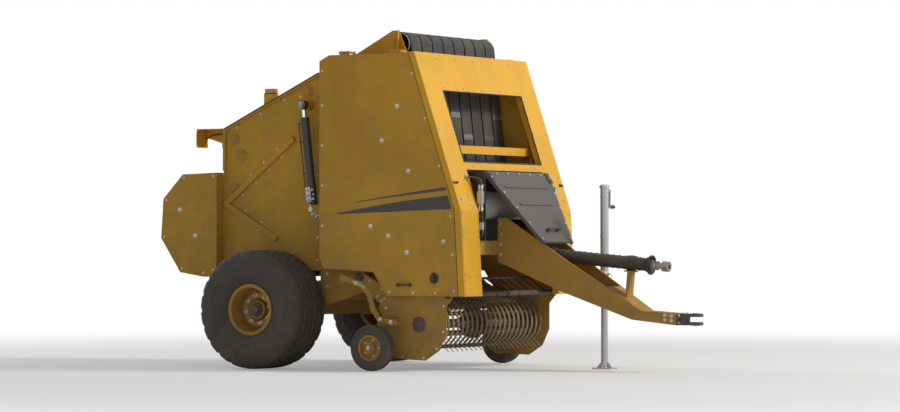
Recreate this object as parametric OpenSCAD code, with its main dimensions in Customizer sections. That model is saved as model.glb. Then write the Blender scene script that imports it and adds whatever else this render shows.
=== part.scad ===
// Towed round baler with a variable bale chamber and a hydraulic tailgate.
// Millimetres. +X is the direction of travel, +Y is the left side, +Z is up.
// The outlines below are measured forward of the wheel axle and up from the ground.

/* [Wheels] */
// Outer diameter of a main tyre
tyre_d = 1040; // [1020:5:1070]
// Section width of a main tyre
tyre_w = 520; // [480:5:530]
// Gap between a main tyre and the frame's bracket beside it
wheel_gap = 39; // [30:1:60]
// Diameter of the rim at the tyre's bead
rim_d = 410; // [390:5:430]
// Depth of the tread grooves
groove_d = 14; // [8:1:20]
// Radius of a wheel spindle
spindle_r = 35; // [30:1:40]
// Outer diameter of a pickup gauge wheel
gauge_d = 400; // [380:5:420]
// Width of a pickup gauge wheel
gauge_w = 110; // [90:5:120]

/* [Body] */
// Depth of a side compartment, from the chamber wall out to the shield
side_depth = 227; // [220:1:240]
// Height of the front face's top edge
face_top_z = 2750; // [2720:5:2780]
// Place of the front face's top edge, forward of the axle
face_top_x = 1490; // [1480:2:1500]
// Height of the bend in the front face
knee_z = 1385; // [1360:5:1400]
// Place of the bend in the front face
knee_x = 1950; // [1940:2:1960]
// Height of the front face's lower end
foot_z = 645; // [640:5:680]
// Place of the front face's lower end
foot_x = 1990; // [1980:2:1996]
// Depth of the folded front frame
hood_depth = 60; // [50:2:70]
// Thickness of the folded sheet covers
sheet = 4; // [3:0.5:6]
// Width of the front frame beside its window
stile_w = 300; // [280:5:320]
// Upper edge of the window
window_top_z = 2420; // [2380:5:2450]
// Lower edge of the window
window_low_z = 1800; // [1790:5:1840]
// Lower edge of the lip under the window
lip_z = 1735; // [1730:1:1745]
// Gap between a side shield and its neighbours
shield_gap = 6; // [5:1:10]
// Depth of a side shield's folded edge
shield_depth = 45; // [35:1:48]

/* [Chamber] */
// Clear width between the chamber walls
chamber_w = 1530; // [1500:2:1560]
// Thickness of the chamber walls
wall_t = 8; // [6:1:9]
// Gap between a chamber wall and the tailgate's wall beside it
gate_gap = 7; // [6:1:8]
// Height of the chamber's peak above the front frame
peak_rise = 200; // [190:5:230]
// Number of belts side by side
belt_count = 8; // [6:1:8]
// Width of one belt
belt_w = 165; // [140:5:170]
// Thickness of a belt
belt_t = 8; // [6:1:9]

/* [Tailgate] */
// Place of the tailgate's pivot, forward of the axle
pivot_x = 620; // [612:2:628]
// Depth of the tailgate's pivot below the front frame's top
pivot_drop = 150; // [142:2:158]
// Height of the stiffening ribs on the tailgate
rib_h = 30; // [20:1:32]
// Width of the stiffening ribs
rib_w = 46; // [36:2:60]
// Depth of a rear side cover, out from the chamber wall
bulge_depth = 127; // [107:1:150]
// Radius of a tailgate cylinder's barrel
barrel_r = 38; // [32:1:40]
// Radius of a tailgate cylinder's rod
rod_r = 20; // [16:1:22]

/* [Pickup] */
// Radius of the circle that the pickup tines sweep
tine_reach = 330; // [300:5:335]
// Radius of a pickup tine
tine_r = 4; // [3:0.5:5]
// Number of stripper bands
band_count = 22; // [18:1:22]
// Radius of the stripper bands
band_r = 215; // [205:5:230]
// Gap from a pickup end plate in to the body's side
pickup_inset = 70; // [62:1:85]

/* [Tongue] */
// Reach of the hitch, forward of the axle
hitch_x = 3690; // [3650:5:3750]
// Height of the hitch
hitch_z = 450; // [445:5:460]
// Radius of the hitch pin's hole
hitch_pin_r = 16.5; // [14:0.5:19]
// Thickness of the tongue's side plates
tongue_t = 14; // [10:1:16]
// Half width of the tongue at its rear end
tongue_rear_y = 262; // [250:2:270]
// Downward slope of the driveline, in degrees
drive_tilt = 5; // [4:0.5:6]
// Radius of the driveline's splined bore
pto_r = 17.5; // [16:0.5:19]

/* [Jack] */
// Place of the jack, forward of the axle
jack_x = 2640; // [2630:5:2700]
// Radius of the jack's outer tube
jack_r = 36; // [32:1:38]
// Height of the top of the jack's tube
jack_top_z = 1580; // [1540:5:1600]

/* [Hidden] */

yellow = "#f2b42c";
dark = "#3a3a3c";
rubber = "#262628";
zinc = "#b9bcc0";
steel = "#6b6d70";

// Running clearance of a shaft in its bore, and the small gap at a seat
run = 0.05;
seat = 0.3;

tyre_r = tyre_d / 2;
rim_r = rim_d / 2;
gauge_r = gauge_d / 2;
wall_in = chamber_w / 2;
wall_out = wall_in + wall_t;
half_body = wall_out + side_depth;
body_w = 2 * half_body;
window_y = half_body - stile_w;
peak_z = face_top_z + peak_rise;
pivot_z = face_top_z - pivot_drop;
bulge_y = wall_out + bulge_depth;
pickup_y = half_body - pickup_inset;
bracket_t = 20;
wheel_y = wall_out + bracket_t + wheel_gap + tyre_w / 2;
gate_in = wall_out + gate_gap;
gate_out = gate_in + wall_t;
belt_span = chamber_w - 56;
belt_pitch = (belt_span - belt_w) / (belt_count - 1);

// Lean of the front face's upper part, and the inner edge of its legs
face_tilt = atan2(knee_x - face_top_x, face_top_z - knee_z);
leg_in = window_y - 10;
face_shift = hood_depth + shield_gap / cos(face_tilt);

// Rearmost point of the rear side covers, and where that puts the axle in the part's frame
bulge_rear_x = -1214;
hitch_nose = 62;
axle_x = -(hitch_x + hitch_nose + bulge_rear_x) / 2;

// X on the front face at height z
function face_x(z) = z > knee_z
    ? knee_x + (face_top_x - knee_x) * (z - knee_z) / (face_top_z - knee_z)
    : foot_x + (knee_x - foot_x) * (z - foot_z) / (knee_z - foot_z);

// Outlines are lists of [x, z], anticlockwise seen from the right side
function unit(v) = v / norm(v);
function inward(a, b) = let (d = unit(b - a)) [-d[1], d[0]];
function inset(p, d) = let (n = len(p)) [for (i = [0:n - 1])
    let (m = inward(p[(i + n - 1) % n], p[i]), k = inward(p[i], p[(i + 1) % n]))
    p[i] + d * (m + k) / (1 + m * k)];

// Rollers are rows of [x, z, radius]; a band runs round the outside of them
function leave_angle(a, b) = atan2(b[1] - a[1], b[0] - a[0])
    - acos((a[2] - b[2]) / norm([b[0] - a[0], b[1] - a[1]]));
function band_points(rollers, out, steps = 8) = let (n = len(rollers)) [for (i = [0:n - 1])
    let (c = rollers[i],
        a0 = leave_angle(rollers[(i + n - 1) % n], c),
        a1 = leave_angle(c, rollers[(i + 1) % n]),
        sweep = (a1 - a0 + 720) % 360,
        r = (c[2] + out) / cos(sweep / steps / 2))
    for (k = [0:steps - 1])
        let (a = a0 + sweep * (k + 0.5) / steps)
        [c[0] + r * cos(a), c[1] + r * sin(a)]];

// Height of the tailgate's upper rear corner
gate_rear_z = 2125;
// How far the upper beam lies below the middle of the tailgate's slope
beam_drop = 162.5;
roller_wall = 6;
front_rollers = [[1200, peak_z - 120, 100], [750, pivot_z - 50, 80], [1000, 1040, 80], [1395, 1230, 95]];
loose_front_rollers = [[625, 760, 95], [1130, 940, 42]];
web_half = 12;
upper_gate_rollers = [[280, pivot_z - 160, 75], [-500, gate_rear_z - 95, 65], [-420, gate_rear_z - 245, 55]];
lower_gate_rollers = [[-500, 1590, 70], [-1040, 1510, 80], [-1060, 1180, 80],
    [-760, 935, 80], [-60, 880, 70]];

shield_outline = [[530, 970], [570, 880], [1080, 850], [1210, foot_z], [foot_x - face_shift, foot_z],
    [knee_x - face_shift, knee_z], [face_x(face_top_z - 12) - face_shift, face_top_z - 12],
    [628, face_top_z - 12], [530, face_top_z - 62]];
peak_x = 1205;
wall_outline = [[400, 700], [900, 700], [1040, 900], [1800, 900], [1800, 1450],
    [face_x(face_top_z) - face_shift, face_top_z - 8], [1290, face_top_z - 8],
    [peak_x, peak_z], [peak_x - 65, peak_z], [780, face_top_z + 10], [640, face_top_z - 8],
    [400, pivot_z - 10]];
gate_outline = [[-620, 870], [420, 860], [420, pivot_z - 220], [pivot_x + 70, pivot_z - 70],
    [pivot_x + 85, pivot_z], [pivot_x, pivot_z + 75], [420, pivot_z + 15], [-610, gate_rear_z]];
bulge_outline = [[-614, 1730], [-980, 1717], [-1190, 1500], [bulge_rear_x, 1147],
    [-1007, 840], [-754, 800], [-614, 830]];

// The cylinder's pins: at its base on the frame, and on the tailgate
cyl_base = [410, 1395];
cyl_top = [300, pivot_z - 284];
cyl_y = wall_out + 127;
cyl_len = norm(cyl_top - cyl_base);
cyl_lean = atan2(cyl_top[0] - cyl_base[0], cyl_top[1] - cyl_base[1]);
eye_w = 64;
cyl_pin_r = 22;

beam_x0 = 1800;
beam_x1 = 1900;
beam_z0 = 1000;
beam_z1 = 1120;
rail_w = 60;
rail_z0 = beam_z0 - 100;
pad_z0 = beam_z0 + 10;
pad_z1 = beam_z1 - 10;
axle_z = tyre_r;
axle_half = 60;

pickup_pivot = [900, 800];
reel_c = [1500, 400];
plate_t = 10;
gauge_c = [1160, gauge_r];
gauge_y = half_body + 150;
// The hinge pins of the side shields: their place, and where along the shield they are
hinge_y = half_body - 14;
hinge_z = face_top_z + 8;
// The roof over a side compartment: its rear and front, and its height
roof_x0 = 660;
roof_x1 = 1420;
roof_z = face_top_z - 12;
hinge_xs = [780, 1300];
hinge_w = 90;
hinge_pin_r = 6;
windguard_c = [1790, 660];
guard_bend = [1600, 790];
guard_tip = [1290, 790];
guard_bar_r = 11;
guard_rod_r = 7;
guard_y = wall_out + rail_w + 14;
guard_count = 14;
guard_rows = [for (i = [0:guard_count - 1]) -guard_y + i * 2 * guard_y / (guard_count - 1)];

drive_x = 2150;
drive_z = 1010;
drive_len = 1290;
// Where along the driveline its stand holds it, and the guard's ring there
stand_at = 930;
pto_hub = 60;
guard_ring_r = 64;
cover_top = [1950, lip_z - 13];
cover_low = [2370, 1100];
// The net box: its half width, its rear and front, its floor, and the roll in it
net_y = wall_in - 220;
net_x0 = 1600;
net_x1 = 1942;
net_c = [1765, 1430, 120];
cover_pin = [1930, cover_top[1] - 22, 8];
// The jack: its pins on the tongue, and how far out it stands
jack_z = 830;
jack_y = 330;
nose_y = 84;
nose_x = hitch_x - 150;
chain_t = 18;
chain_y = wall_out + 89;
lamp_y = gate_in - 180;
rim_half = 195;
tread_t = 48;
reel_bars = 4;
rail_x = reel_c[0] - tine_reach - 20;
band_pitch = 2 * (pickup_y - plate_t - 50) / (band_count - 1);

module at_axle() {
    translate([axle_x, 0, 0]) children();
}

module sided(side) {
    if (side > 0) children();
    else mirror([0, 1, 0]) children();
}

module both_sides() {
    children();
    mirror([0, 1, 0]) children();
}

// A flat piece in the XZ plane, from y0 to y1
module slab(y0, y1) {
    translate([0, y1, 0]) rotate([90, 0, 0]) linear_extrude(y1 - y0) children();
}

// A flat piece in the YZ plane, from x0 to x1
module sheet_yz(x0, x1) {
    translate([x0, 0, 0]) rotate([90, 0, 90]) linear_extrude(x1 - x0) children();
}

// A round bar along Y
module bar(x, z, r, y0, y1, fn = 48) {
    translate([x, y0, z]) rotate([-90, 0, 0]) cylinder(h = y1 - y0, r = r, $fn = fn);
}

// Places its children at point p with their Z axis towards q
module aim(p, q, y) {
    translate([p[0], y, p[1]]) rotate([0, atan2(q[0] - p[0], q[1] - p[1]), 0]) children();
}

// A straight strip of width w from p to q in the XZ plane
module strip(p, q, w) {
    d = unit(q - p) * w / 2;
    s = [-d[1], d[0]];
    polygon([p - d - s, q + d - s, q + d + s, p - d + s]);
}

// A cover with a folded edge: open on its inner side
module tray(outline, y_in, y_out, skin) {
    difference() {
        slab(y_in, y_out) polygon(outline);
        slab(y_in - 1, y_out - skin) polygon(inset(outline, skin));
    }
}

// The bracket that carries the axle and the pickup, the rail along it, and the cylinder's ears
module frame_side(side) {
    color(yellow) at_axle() sided(side) {
        difference() {
            union() {
                slab(wall_out, wall_out + bracket_t)
                    polygon([[-95, axle_z - 75], [95, axle_z - 75], [960, 700], [1060, 820],
                        [1060, 960], [450, 960], [450, 780], [300, 760], [-95, axle_z + 75]]);
                translate([450, wall_out, rail_z0]) cube([beam_x1 - 450, rail_w, beam_z0 - rail_z0]);
            }
            slab(0, wall_out + bracket_t + 1) translate([0, axle_z]) square(2 * axle_half, center = true);
            bar(pickup_pivot[0], pickup_pivot[1], 20 + run, 0, wall_out + bracket_t + 1);
        }
        cylinder_lugs();
    }
}

// The front beam lies on the rails, and a tube ties the brackets
module cross_members() {
    color(yellow) at_axle() {
        translate([beam_x0, -pickup_y, beam_z0]) cube([beam_x1 - beam_x0, 2 * pickup_y, beam_z1 - beam_z0]);
        bar(470, 640, 45, -wall_out, wall_out);
    }
}

// Two ears and a pin that carry the foot of a tailgate cylinder
module cylinder_lugs() {
    ear = [[500, 1290], [560, 1290], [560, 1436], [390, 1436], [372, 1420], [372, 1365]];
    translate([500, wall_out, 1290]) cube([60, cyl_y + eye_w / 2 + 14 - wall_out, 146]);
    for (y = [cyl_y - eye_w / 2 - 12, cyl_y + eye_w / 2 + 2]) slab(y, y + 12) polygon(ear);
    bar(cyl_base[0], cyl_base[1], cyl_pin_r, cyl_y - eye_w / 2 - 12, cyl_y + eye_w / 2 + 20);
}

module axle() {
    color(yellow) at_axle() {
        translate([-axle_half, -wall_out - bracket_t, axle_z - axle_half])
            cube([2 * axle_half, 2 * (wall_out + bracket_t), 2 * axle_half]);
        both_sides() {
            bar(0, axle_z, spindle_r, wall_out + bracket_t, wheel_y + 95);
            bar(0, axle_z, 55, wall_out + bracket_t, wheel_y - 150);
        }
    }
}

module chamber_wall(side) {
    color(yellow) at_axle() sided(side) {
        slab(wall_in, wall_out) polygon(wall_outline);
        // Folded edge at the front of the peak
        translate([peak_x - 2, wall_in, face_top_z]) cube([6, 30 + wall_t, peak_rise]);
        bar(pivot_x, pivot_z, 25, wall_out, gate_out + 42);
    }
}

module wall_ties() {
    color(yellow) at_axle() for (t = [[1640, 1915, 60, 70], [520, pivot_z - 60, 60, 60]])
        translate([t[0] - t[2] / 2, -wall_in, t[1] - t[3] / 2]) cube([t[2], chamber_w, t[3]]);
}

// The front frame seen from ahead, Y across and Z up, each edge moved in by m
module face_outline(m) {
    difference() {
        translate([-half_body + m, foot_z + m]) square([body_w - 2 * m, face_top_z - foot_z - 2 * m]);
        translate([-window_y - m, window_low_z - m])
            square([2 * window_y + 2 * m, window_top_z - window_low_z + 2 * m]);
        translate([-leg_in - m, foot_z - 1]) square([2 * leg_in + 2 * m, lip_z - foot_z + 1 + m]);
    }
}

// The frame's side profile between two depths behind its front face
module face_profile(d0, d1) {
    bend = [[foot_x, foot_z], [knee_x, knee_z], [face_top_x, face_top_z]];
    polygon(concat([for (p = bend) [p[0] - d0, p[1]]], [for (i = [2:-1:0]) [bend[i][0] - d1, bend[i][1]]]));
}

// The front frame is folded sheet, open to the rear
module front_frame() {
    color(yellow) at_axle() {
        difference() {
            intersection() {
                slab(-half_body, half_body) face_profile(0, hood_depth);
                sheet_yz(face_top_x - hood_depth - 1, foot_x + 1) face_outline(0);
            }
            intersection() {
                slab(-half_body, half_body) face_profile(sheet, hood_depth + 1);
                sheet_yz(face_top_x - hood_depth - 2, foot_x + 1) face_outline(sheet);
            }
        }
        // Pads that carry the frame on the front beam
        both_sides() slab(leg_in + 60, half_body - 90)
            polygon([[beam_x1, pad_z0], [face_x(pad_z0) - sheet / 2, pad_z0],
                [face_x(pad_z1) - sheet / 2, pad_z1], [beam_x1, pad_z1]]);
    }
}

module side_roofs() {
    color(yellow) at_axle() both_sides() {
        translate([roof_x0, wall_out, roof_z - sheet])
            cube([roof_x1 - roof_x0, side_depth - shield_depth - 8, sheet]);
        translate([roof_x0, wall_out, roof_z - 58]) cube([roof_x1 - roof_x0, 6, 58]);
        for (x = hinge_xs) {
            for (s = [-1, 1]) translate([x + s * (hinge_w / 2 + 5) - 4, 0, 0]) {
                translate([0, half_body - 110, face_top_z - 14]) cube([8, 30, 26]);
                translate([0, half_body - 110, face_top_z - 4]) cube([8, 104, 22]);
            }
            translate([x - hinge_w / 2 - 8, hinge_y, hinge_z]) rotate([0, 90, 0])
                cylinder(h = hinge_w + 16, r = hinge_pin_r, $fn = 32);
        }
    }
}

module belts(rollers) {
    for (i = [0:belt_count - 1])
        translate([0, -belt_span / 2 + i * belt_pitch, 0]) slab(0, belt_w) difference() {
            polygon(band_points(rollers, belt_t + seat));
            polygon(band_points(rollers, seat));
        }
}

// A roller is a tube on a through shaft, joined to it by a web in the middle
module roller_set(rollers, reach) {
    for (c = rollers) {
        difference() {
            bar(c[0], c[1], c[2], -wall_in + 12, wall_in - 12);
            bar(c[0], c[1], c[2] - roller_wall, -wall_in, -web_half);
            bar(c[0], c[1], c[2] - roller_wall, web_half, wall_in);
        }
        bar(c[0], c[1], 22, -reach, reach);
    }
}

module belts_front() {
    color(rubber) at_axle() belts(front_rollers);
}

module rollers_front() {
    color(steel) at_axle() roller_set(concat(front_rollers, loose_front_rollers), wall_in);
}

module belts_rear() {
    color(rubber) at_axle() {
        belts(upper_gate_rollers);
        belts(lower_gate_rollers);
    }
}

module rollers_rear() {
    color(steel) at_axle() roller_set(concat(upper_gate_rollers, lower_gate_rollers), gate_in);
}

module net_box() {
    z1 = cover_top[1] - 6;
    color(dark) at_axle() {
        both_sides() {
            translate([net_x0, net_y, beam_z1]) cube([net_x1 - net_x0, 10, z1 - beam_z1]);
            bar(cover_pin[0], cover_pin[1], cover_pin[2], net_y - 55, net_y + 1);
        }
        slab(-net_y - 1, net_y + 1) {
            translate([net_x0, beam_z1]) square([beam_x1 - 5 - net_x0, 6]);
            translate([net_x0, beam_z1]) square([6, z1 - beam_z1]);
            translate([net_x0, z1 - 6]) square([beam_x1 - net_x0, 6]);
        }
    }
}

module net_roll() {
    color("#e8e6df") at_axle() {
        bar(net_c[0], net_c[1], net_c[2], -net_y + 25, net_y - 25);
        bar(net_c[0], net_c[1], 30, -net_y, net_y);
    }
}

// The grey cover slopes from under the window down to the tongue, and narrows on the way
module front_cover() {
    along = norm(cover_low - cover_top);
    top_y = net_y + 30;
    low_y = tongue_rear_y;
    z = cover_top[1];
    color(dark) at_axle() difference() {
        union() {
            aim(cover_top, cover_low, 0) sheet_yz(0, sheet)
                polygon([[-top_y, 0], [top_y, 0], [low_y, along], [-low_y, along]]);
            both_sides() {
                aim(cover_top, cover_low, 0) sheet_yz(0, 30)
                    polygon([[top_y - 5, 0], [top_y, 0], [low_y, along], [low_y - 5, along]]);
                slab(net_y - 45, net_y - 10) polygon([[1916, z - 36], [1952, z - 36],
                    [1952, z - 6], [1940, z - 6], [1916, z - 8]]);
            }
        }
        both_sides() bar(cover_pin[0], cover_pin[1], cover_pin[2] + run, net_y - 65, net_y + 15);
    }
}

// The tongue's upper and lower edges, from the front beam to the hitch
tongue_bend = [3230, hitch_z + 70];
// Rear end of the tongue's lid
lid_x = 2900;
tongue_top = [[beam_x1, 1320], [1985, 1320], [2380, 1060], [2560, 940], tongue_bend];
tongue_low = [[beam_x1, 940], [2500, 680], [3140, hitch_z - 5], [nose_x, hitch_z - 50]];

// The tongue seen from above, between its side plates' outer or inner faces
module tongue_plan(inner) {
    polygon([[beam_x1, -tongue_rear_y + inner], [nose_x, -nose_y + inner], [nose_x, nose_y - inner],
        [beam_x1, tongue_rear_y - inner]]);
}

module tongue() {
    above = [0, tongue_t];
    side = concat(tongue_low, [[nose_x, hitch_z + 50]], [for (i = [len(tongue_top) - 1:-1:0]) tongue_top[i]]);
    color(yellow) at_axle() {
        intersection() {
            slab(-tongue_rear_y, tongue_rear_y) polygon(side);
            linear_extrude(peak_z) difference() {
                tongue_plan(0);
                tongue_plan(tongue_t);
            }
        }
        // Its floor, and its lid near the hitch
        intersection() {
            slab(-tongue_rear_y, tongue_rear_y) {
                polygon(concat(tongue_low, [for (i = [3:-1:0]) tongue_low[i] + above]));
                polygon([[lid_x, hitch_z + 258], tongue_bend - above, [nose_x, hitch_z + 50] - above,
                    [nose_x, hitch_z + 50], tongue_bend, [lid_x, hitch_z + 277]]);
            }
            linear_extrude(peak_z) tongue_plan(0);
        }
        driveline_stand();
        jack_mount();
    }
}

// A post on the tongue that holds the driveline's guard when it is unhitched
module driveline_stand() {
    on_drive() translate([guard_ring_r + seat, -60, stand_at - 40]) cube([12, 120, 80]);
    intersection() {
        on_drive() translate([guard_ring_r + seat + 6, -60, stand_at - 8]) cube([400, 120, 16]);
        slab(-60, 60) polygon([[lid_x, hitch_z + 268], tongue_bend - [0, 7], [tongue_bend[0], drive_z],
            [lid_x, drive_z]]);
    }
}

module jack_mount() {
    inner = tongue_rear_y - tongue_t / 2 - (jack_x - beam_x1) * (tongue_rear_y - nose_y) / (nose_x - beam_x1);
    bar(jack_x, jack_z, 32, inner, jack_y - jack_r - 12);
    bar(jack_x, jack_z, 20, inner, jack_y - jack_r + 6);
    bar(jack_x, jack_z - 90, 20, inner, jack_y - jack_r - 12);
}

module hitch() {
    z0 = hitch_z - 50;
    color(dark) at_axle() difference() {
        union() {
            translate([nose_x, -nose_y, z0]) cube([16, 2 * nose_y, 100]);
            for (z = [z0, z0 + 72]) linear_extrude_at(z, 28) {
                translate([nose_x, -50]) square([150, 100]);
                translate([hitch_x, 0]) circle(r = hitch_nose, $fn = 64);
            }
            translate([nose_x, -50, z0]) cube([70, 100, 100]);
        }
        translate([hitch_x, 0, z0 - 1]) cylinder(h = 102, r = hitch_pin_r, $fn = 64);
    }
}

module linear_extrude_at(z, h) {
    translate([0, 0, z]) linear_extrude(h) children();
}

module gearbox() {
    color(dark) at_axle() {
        translate([beam_x1, -130, drive_z - 50]) cube([22, 260, 150]);
        translate([beam_x1 + 20, -100, drive_z - 50]) cube([130, 200, 140]);
        on_drive() translate([0, 0, -110]) cylinder(h = 110 - seat, r = 42, $fn = 48);
    }
}

module on_drive() {
    translate([drive_x, 0, drive_z]) rotate([0, 90 + drive_tilt, 0]) children();
}

module driveline_guard() {
    color("#1d1d1f") at_axle() on_drive() difference() {
        union() {
            translate([0, 0, 150]) cylinder(h = 60, r1 = 78, r2 = 56, $fn = 48);
            translate([0, 0, 210]) cylinder(h = drive_len - 435, r = 56, $fn = 48);
            translate([0, 0, drive_len - 225]) cylinder(h = 60, r1 = 56, r2 = 84, $fn = 48);
            translate([0, 0, stand_at - 40]) cylinder(h = 80, r = guard_ring_r, $fn = 48);
        }
        translate([0, 0, 140]) cylinder(h = drive_len - 290, r = 30 + run, $fn = 48);
        translate([0, 0, 149]) cylinder(h = 50, r1 = 72, r2 = 48, $fn = 48);
        translate([0, 0, drive_len - 214]) cylinder(h = 50, r1 = 48, r2 = 78, $fn = 48);
    }
}

// One half of a universal joint: a hub and two ears
module yoke(r, hub = 45) {
    cylinder(h = hub, r = r, $fn = 48);
    for (s = [-1, 1]) translate([s * 30 - 7, -24, hub - 5]) cube([14, 48, 62]);
}

module driveline() {
    color(steel) at_axle() on_drive() difference() {
        union() {
            yoke(46);
            translate([0, 0, 190]) mirror([0, 0, 1]) rotate([0, 0, 90]) yoke(46);
            translate([0, 0, 95]) cube([74, 20, 20], center = true);
            translate([0, 0, 95]) cube([20, 74, 20], center = true);
            cylinder_along(150, drive_len - 165, 30);
            translate([0, 0, drive_len - 205]) yoke(44);
            translate([0, 0, drive_len - 110]) cube([74, 20, 20], center = true);
            translate([0, 0, drive_len - 110]) cube([20, 74, 20], center = true);
            translate([0, 0, drive_len]) mirror([0, 0, 1]) rotate([0, 0, 90]) yoke(44, pto_hub);
        }
        translate([0, 0, drive_len - pto_hub]) cylinder(h = pto_hub + 1, r = pto_r, $fn = 48);
    }
}

module cylinder_along(z0, z1, r) {
    translate([0, 0, z0]) cylinder(h = z1 - z0, r = r, $fn = 48);
}

module chain_drive(loops) {
    for (l = loops) {
        slab(l[0], l[0] + chain_t) difference() {
            polygon(band_points(l[1], chain_t));
            polygon(band_points(l[1], seat));
        }
        for (c = l[1]) {
            bar(c[0], c[1], c[2], l[0], l[0] + chain_t);
            bar(c[0], c[1], 22, wall_out, l[0] + chain_t + 14);
        }
    }
}

module drive_left() {
    color(steel) at_axle() chain_drive([
        [chain_y, [[1680, 1110, 60], [1000, 1040, 110]]],
        [chain_y + 28, [[1000, 1040, 70], [1395, 1230, 90]]]]);
}

module drive_right() {
    color(steel) at_axle() mirror([0, 1, 0]) chain_drive([
        [chain_y, [[1680, 1110, 80], [1130, 1180, 60], [1000, 1040, 110]]]]);
}

module jack_tube() {
    color(zinc) at_axle() difference() {
        union() {
            translate([jack_x, jack_y, jack_z - 130])
                cylinder(h = jack_top_z - jack_z + 130, r = jack_r, $fn = 48);
            bar(jack_x, jack_z, 34, jack_y - jack_r - 12 + seat, jack_y);
            bar(jack_x, jack_z - 90, 20, jack_y - jack_r - 12 + seat, jack_y);
            translate([jack_x, jack_y, jack_top_z]) cylinder(h = 22, r = jack_r + 8, $fn = 48);
            translate([jack_x, jack_y, jack_top_z - 25]) rotate([-90, 0, 0])
                cylinder(h = 90, r = 9, $fn = 24);
        }
        translate([jack_x, jack_y, jack_z - 131])
            cylinder(h = jack_top_z - jack_z + 90, r = jack_r - 6 + run, $fn = 48);
        bar(jack_x, jack_z, 20 + run, jack_y - jack_r - 14, jack_y - jack_r + 7);
    }
}

module jack_leg() {
    color(zinc) at_axle() {
        translate([jack_x, jack_y, 12]) cylinder(h = 1150, r = jack_r - 6, $fn = 48);
        translate([jack_x - 90, jack_y - 70, 0]) cube([180, 140, 12]);
    }
}

// Tyre section: a rounded box between the bead and the tread, as [across, radius]
function round_box(w, r0, r1, n = 10) = [for (k = [0:4 * n - 1])
    let (t = 360 * k / (4 * n), c = cos(t), s = sin(t))
    [w / 2 * sign(c) * pow(abs(c), 0.55), (r0 + r1) / 2 + (r1 - r0) / 2 * sign(s) * pow(abs(s), 0.5)]];

module wheel_turn(x, y, z) {
    translate([x, y, z]) rotate([-90, 0, 0]) rotate_extrude($fn = 96) rotate(90) mirror([0, 1]) children();
}

module tyre_section(w, r0, r1, bead, grooves) {
    intersection() {
        difference() {
            polygon(round_box(w, r0, r1));
            for (s = [-1, 1]) translate([s > 0 ? bead : -bead - w, 0]) square([w, r0 + 26]);
            translate([0, -60]) polygon(round_box(2 * bead - 50, r0 - 60, r1 + 60 - tread_t));
            for (g = grooves) translate([g - 9, r1 - groove_d]) square([18, 40]);
        }
        translate([-w, r0 + seat]) square([2 * w, r1]);
    }
}

module tyre(side) {
    color(rubber) at_axle() sided(side) wheel_turn(0, wheel_y, axle_z)
        tyre_section(tyre_w, rim_r, tyre_r, rim_half - seat, [-150, -75, 0, 75, 150]);
}

module rim(side) {
    color(yellow) at_axle() sided(side) wheel_turn(0, wheel_y, axle_z) {
        for (s = [-1, 1]) translate([s > 0 ? rim_half : -rim_half - 10, rim_r - 10]) square([10, 28]);
        translate([-rim_half - 5, rim_r - 10]) square([2 * rim_half + 10, 10]);
        polygon([[20, 70], [75, 110], [75, rim_r - 60], [40, rim_r - 9], [28, rim_r - 9],
            [62, rim_r - 66], [62, 116], [0, 80]]);
        translate([-60, spindle_r + run]) square([150, 45]);
    }
}

module gate_wall(side) {
    vertex = [-575, 1450];
    color(yellow) at_axle() sided(side) difference() {
        union() {
            slab(gate_in, gate_out) {
                polygon(gate_outline);
                polygon(inset(bulge_outline, 6));
                translate([-660, 870]) square([60, 830]);
            }
            slab(gate_out - 1, gate_out + rib_h) {
                strip(vertex, [120, gate_rear_z - 115], rib_w);
                strip(vertex, [-60, 1150], rib_w);
            }
            // Folded edges along the slope and the front
            slab(gate_out - 1, gate_out + 24) {
                strip([400, pivot_z - 14], [-592, gate_rear_z - 13], 24);
                strip([-596, 1760], [-596, gate_rear_z - 25], 24);
            }
            bar(pivot_x, pivot_z, 55, gate_in, gate_out + 30);
            bar(cyl_top[0], cyl_top[1], 45, gate_out - 1, cyl_y - eye_w / 2 - 0.5);
        }
        bar(pivot_x, pivot_z, 25 + run, gate_in - 1, gate_out + 40);
    }
}

module gate_beams() {
    // Each beam's place, and the side of its square. The second runs between the upper belts' two runs
    beams = [[-570, gate_rear_z - 350, 60], [-100, (gate_rear_z + pivot_z) / 2 - beam_drop, 60], [-560, 1240, 100]];
    color(yellow) at_axle() for (t = beams)
        translate([t[0] - t[2] / 2, -gate_in, t[1] - t[2] / 2]) cube([t[2], 2 * gate_in, t[2]]);
}

module rear_cover(side) {
    color(yellow) at_axle() sided(side) tray(bulge_outline, gate_out, bulge_y, sheet);
}

// Top of the tailgate's wall at place x
function slope_z(x) = gate_rear_z + (x + 610) * (pivot_z + 15 - gate_rear_z) / 1030;

// A plate across the tailgate's rear, which carries the lamps and the warning plate
module sign_rail() {
    color(yellow) at_axle() translate([-635, -gate_in, gate_rear_z - 175]) cube([35, 2 * gate_in, 60]);
}

module lamp_bracket(side) {
    z = gate_rear_z;
    color(yellow) at_axle() sided(side) {
        slab(lamp_y, lamp_y + 6) polygon([[-641, z - 160], [-635, z - 175], [-635, z - 115], [-600, z - 115],
            [-600, z - 5], [-910, z], [-910, z - 75]]);
        translate([-910, lamp_y, z - 5]) cube([300, 170, 6]);
        translate([-916, lamp_y, z - 165]) cube([6, 170, 166]);
        // Upper lamp's foot on the slope
        slab(gate_in - 38, gate_in) polygon([[-190, slope_z(-190) - 55], [-60, slope_z(-60) - 55],
            [-60, slope_z(-60) + 43], [-190, slope_z(-60) + 43]]);
    }
}

module lamp_lenses() {
    color("#b3261e") at_axle() both_sides() {
        translate([-934, lamp_y + 20, gate_rear_z - 140]) cube([18, 130, 110]);
        translate([-180, gate_in - 38, slope_z(-60) + 43]) cube([110, 38, 40]);
    }
}

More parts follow.
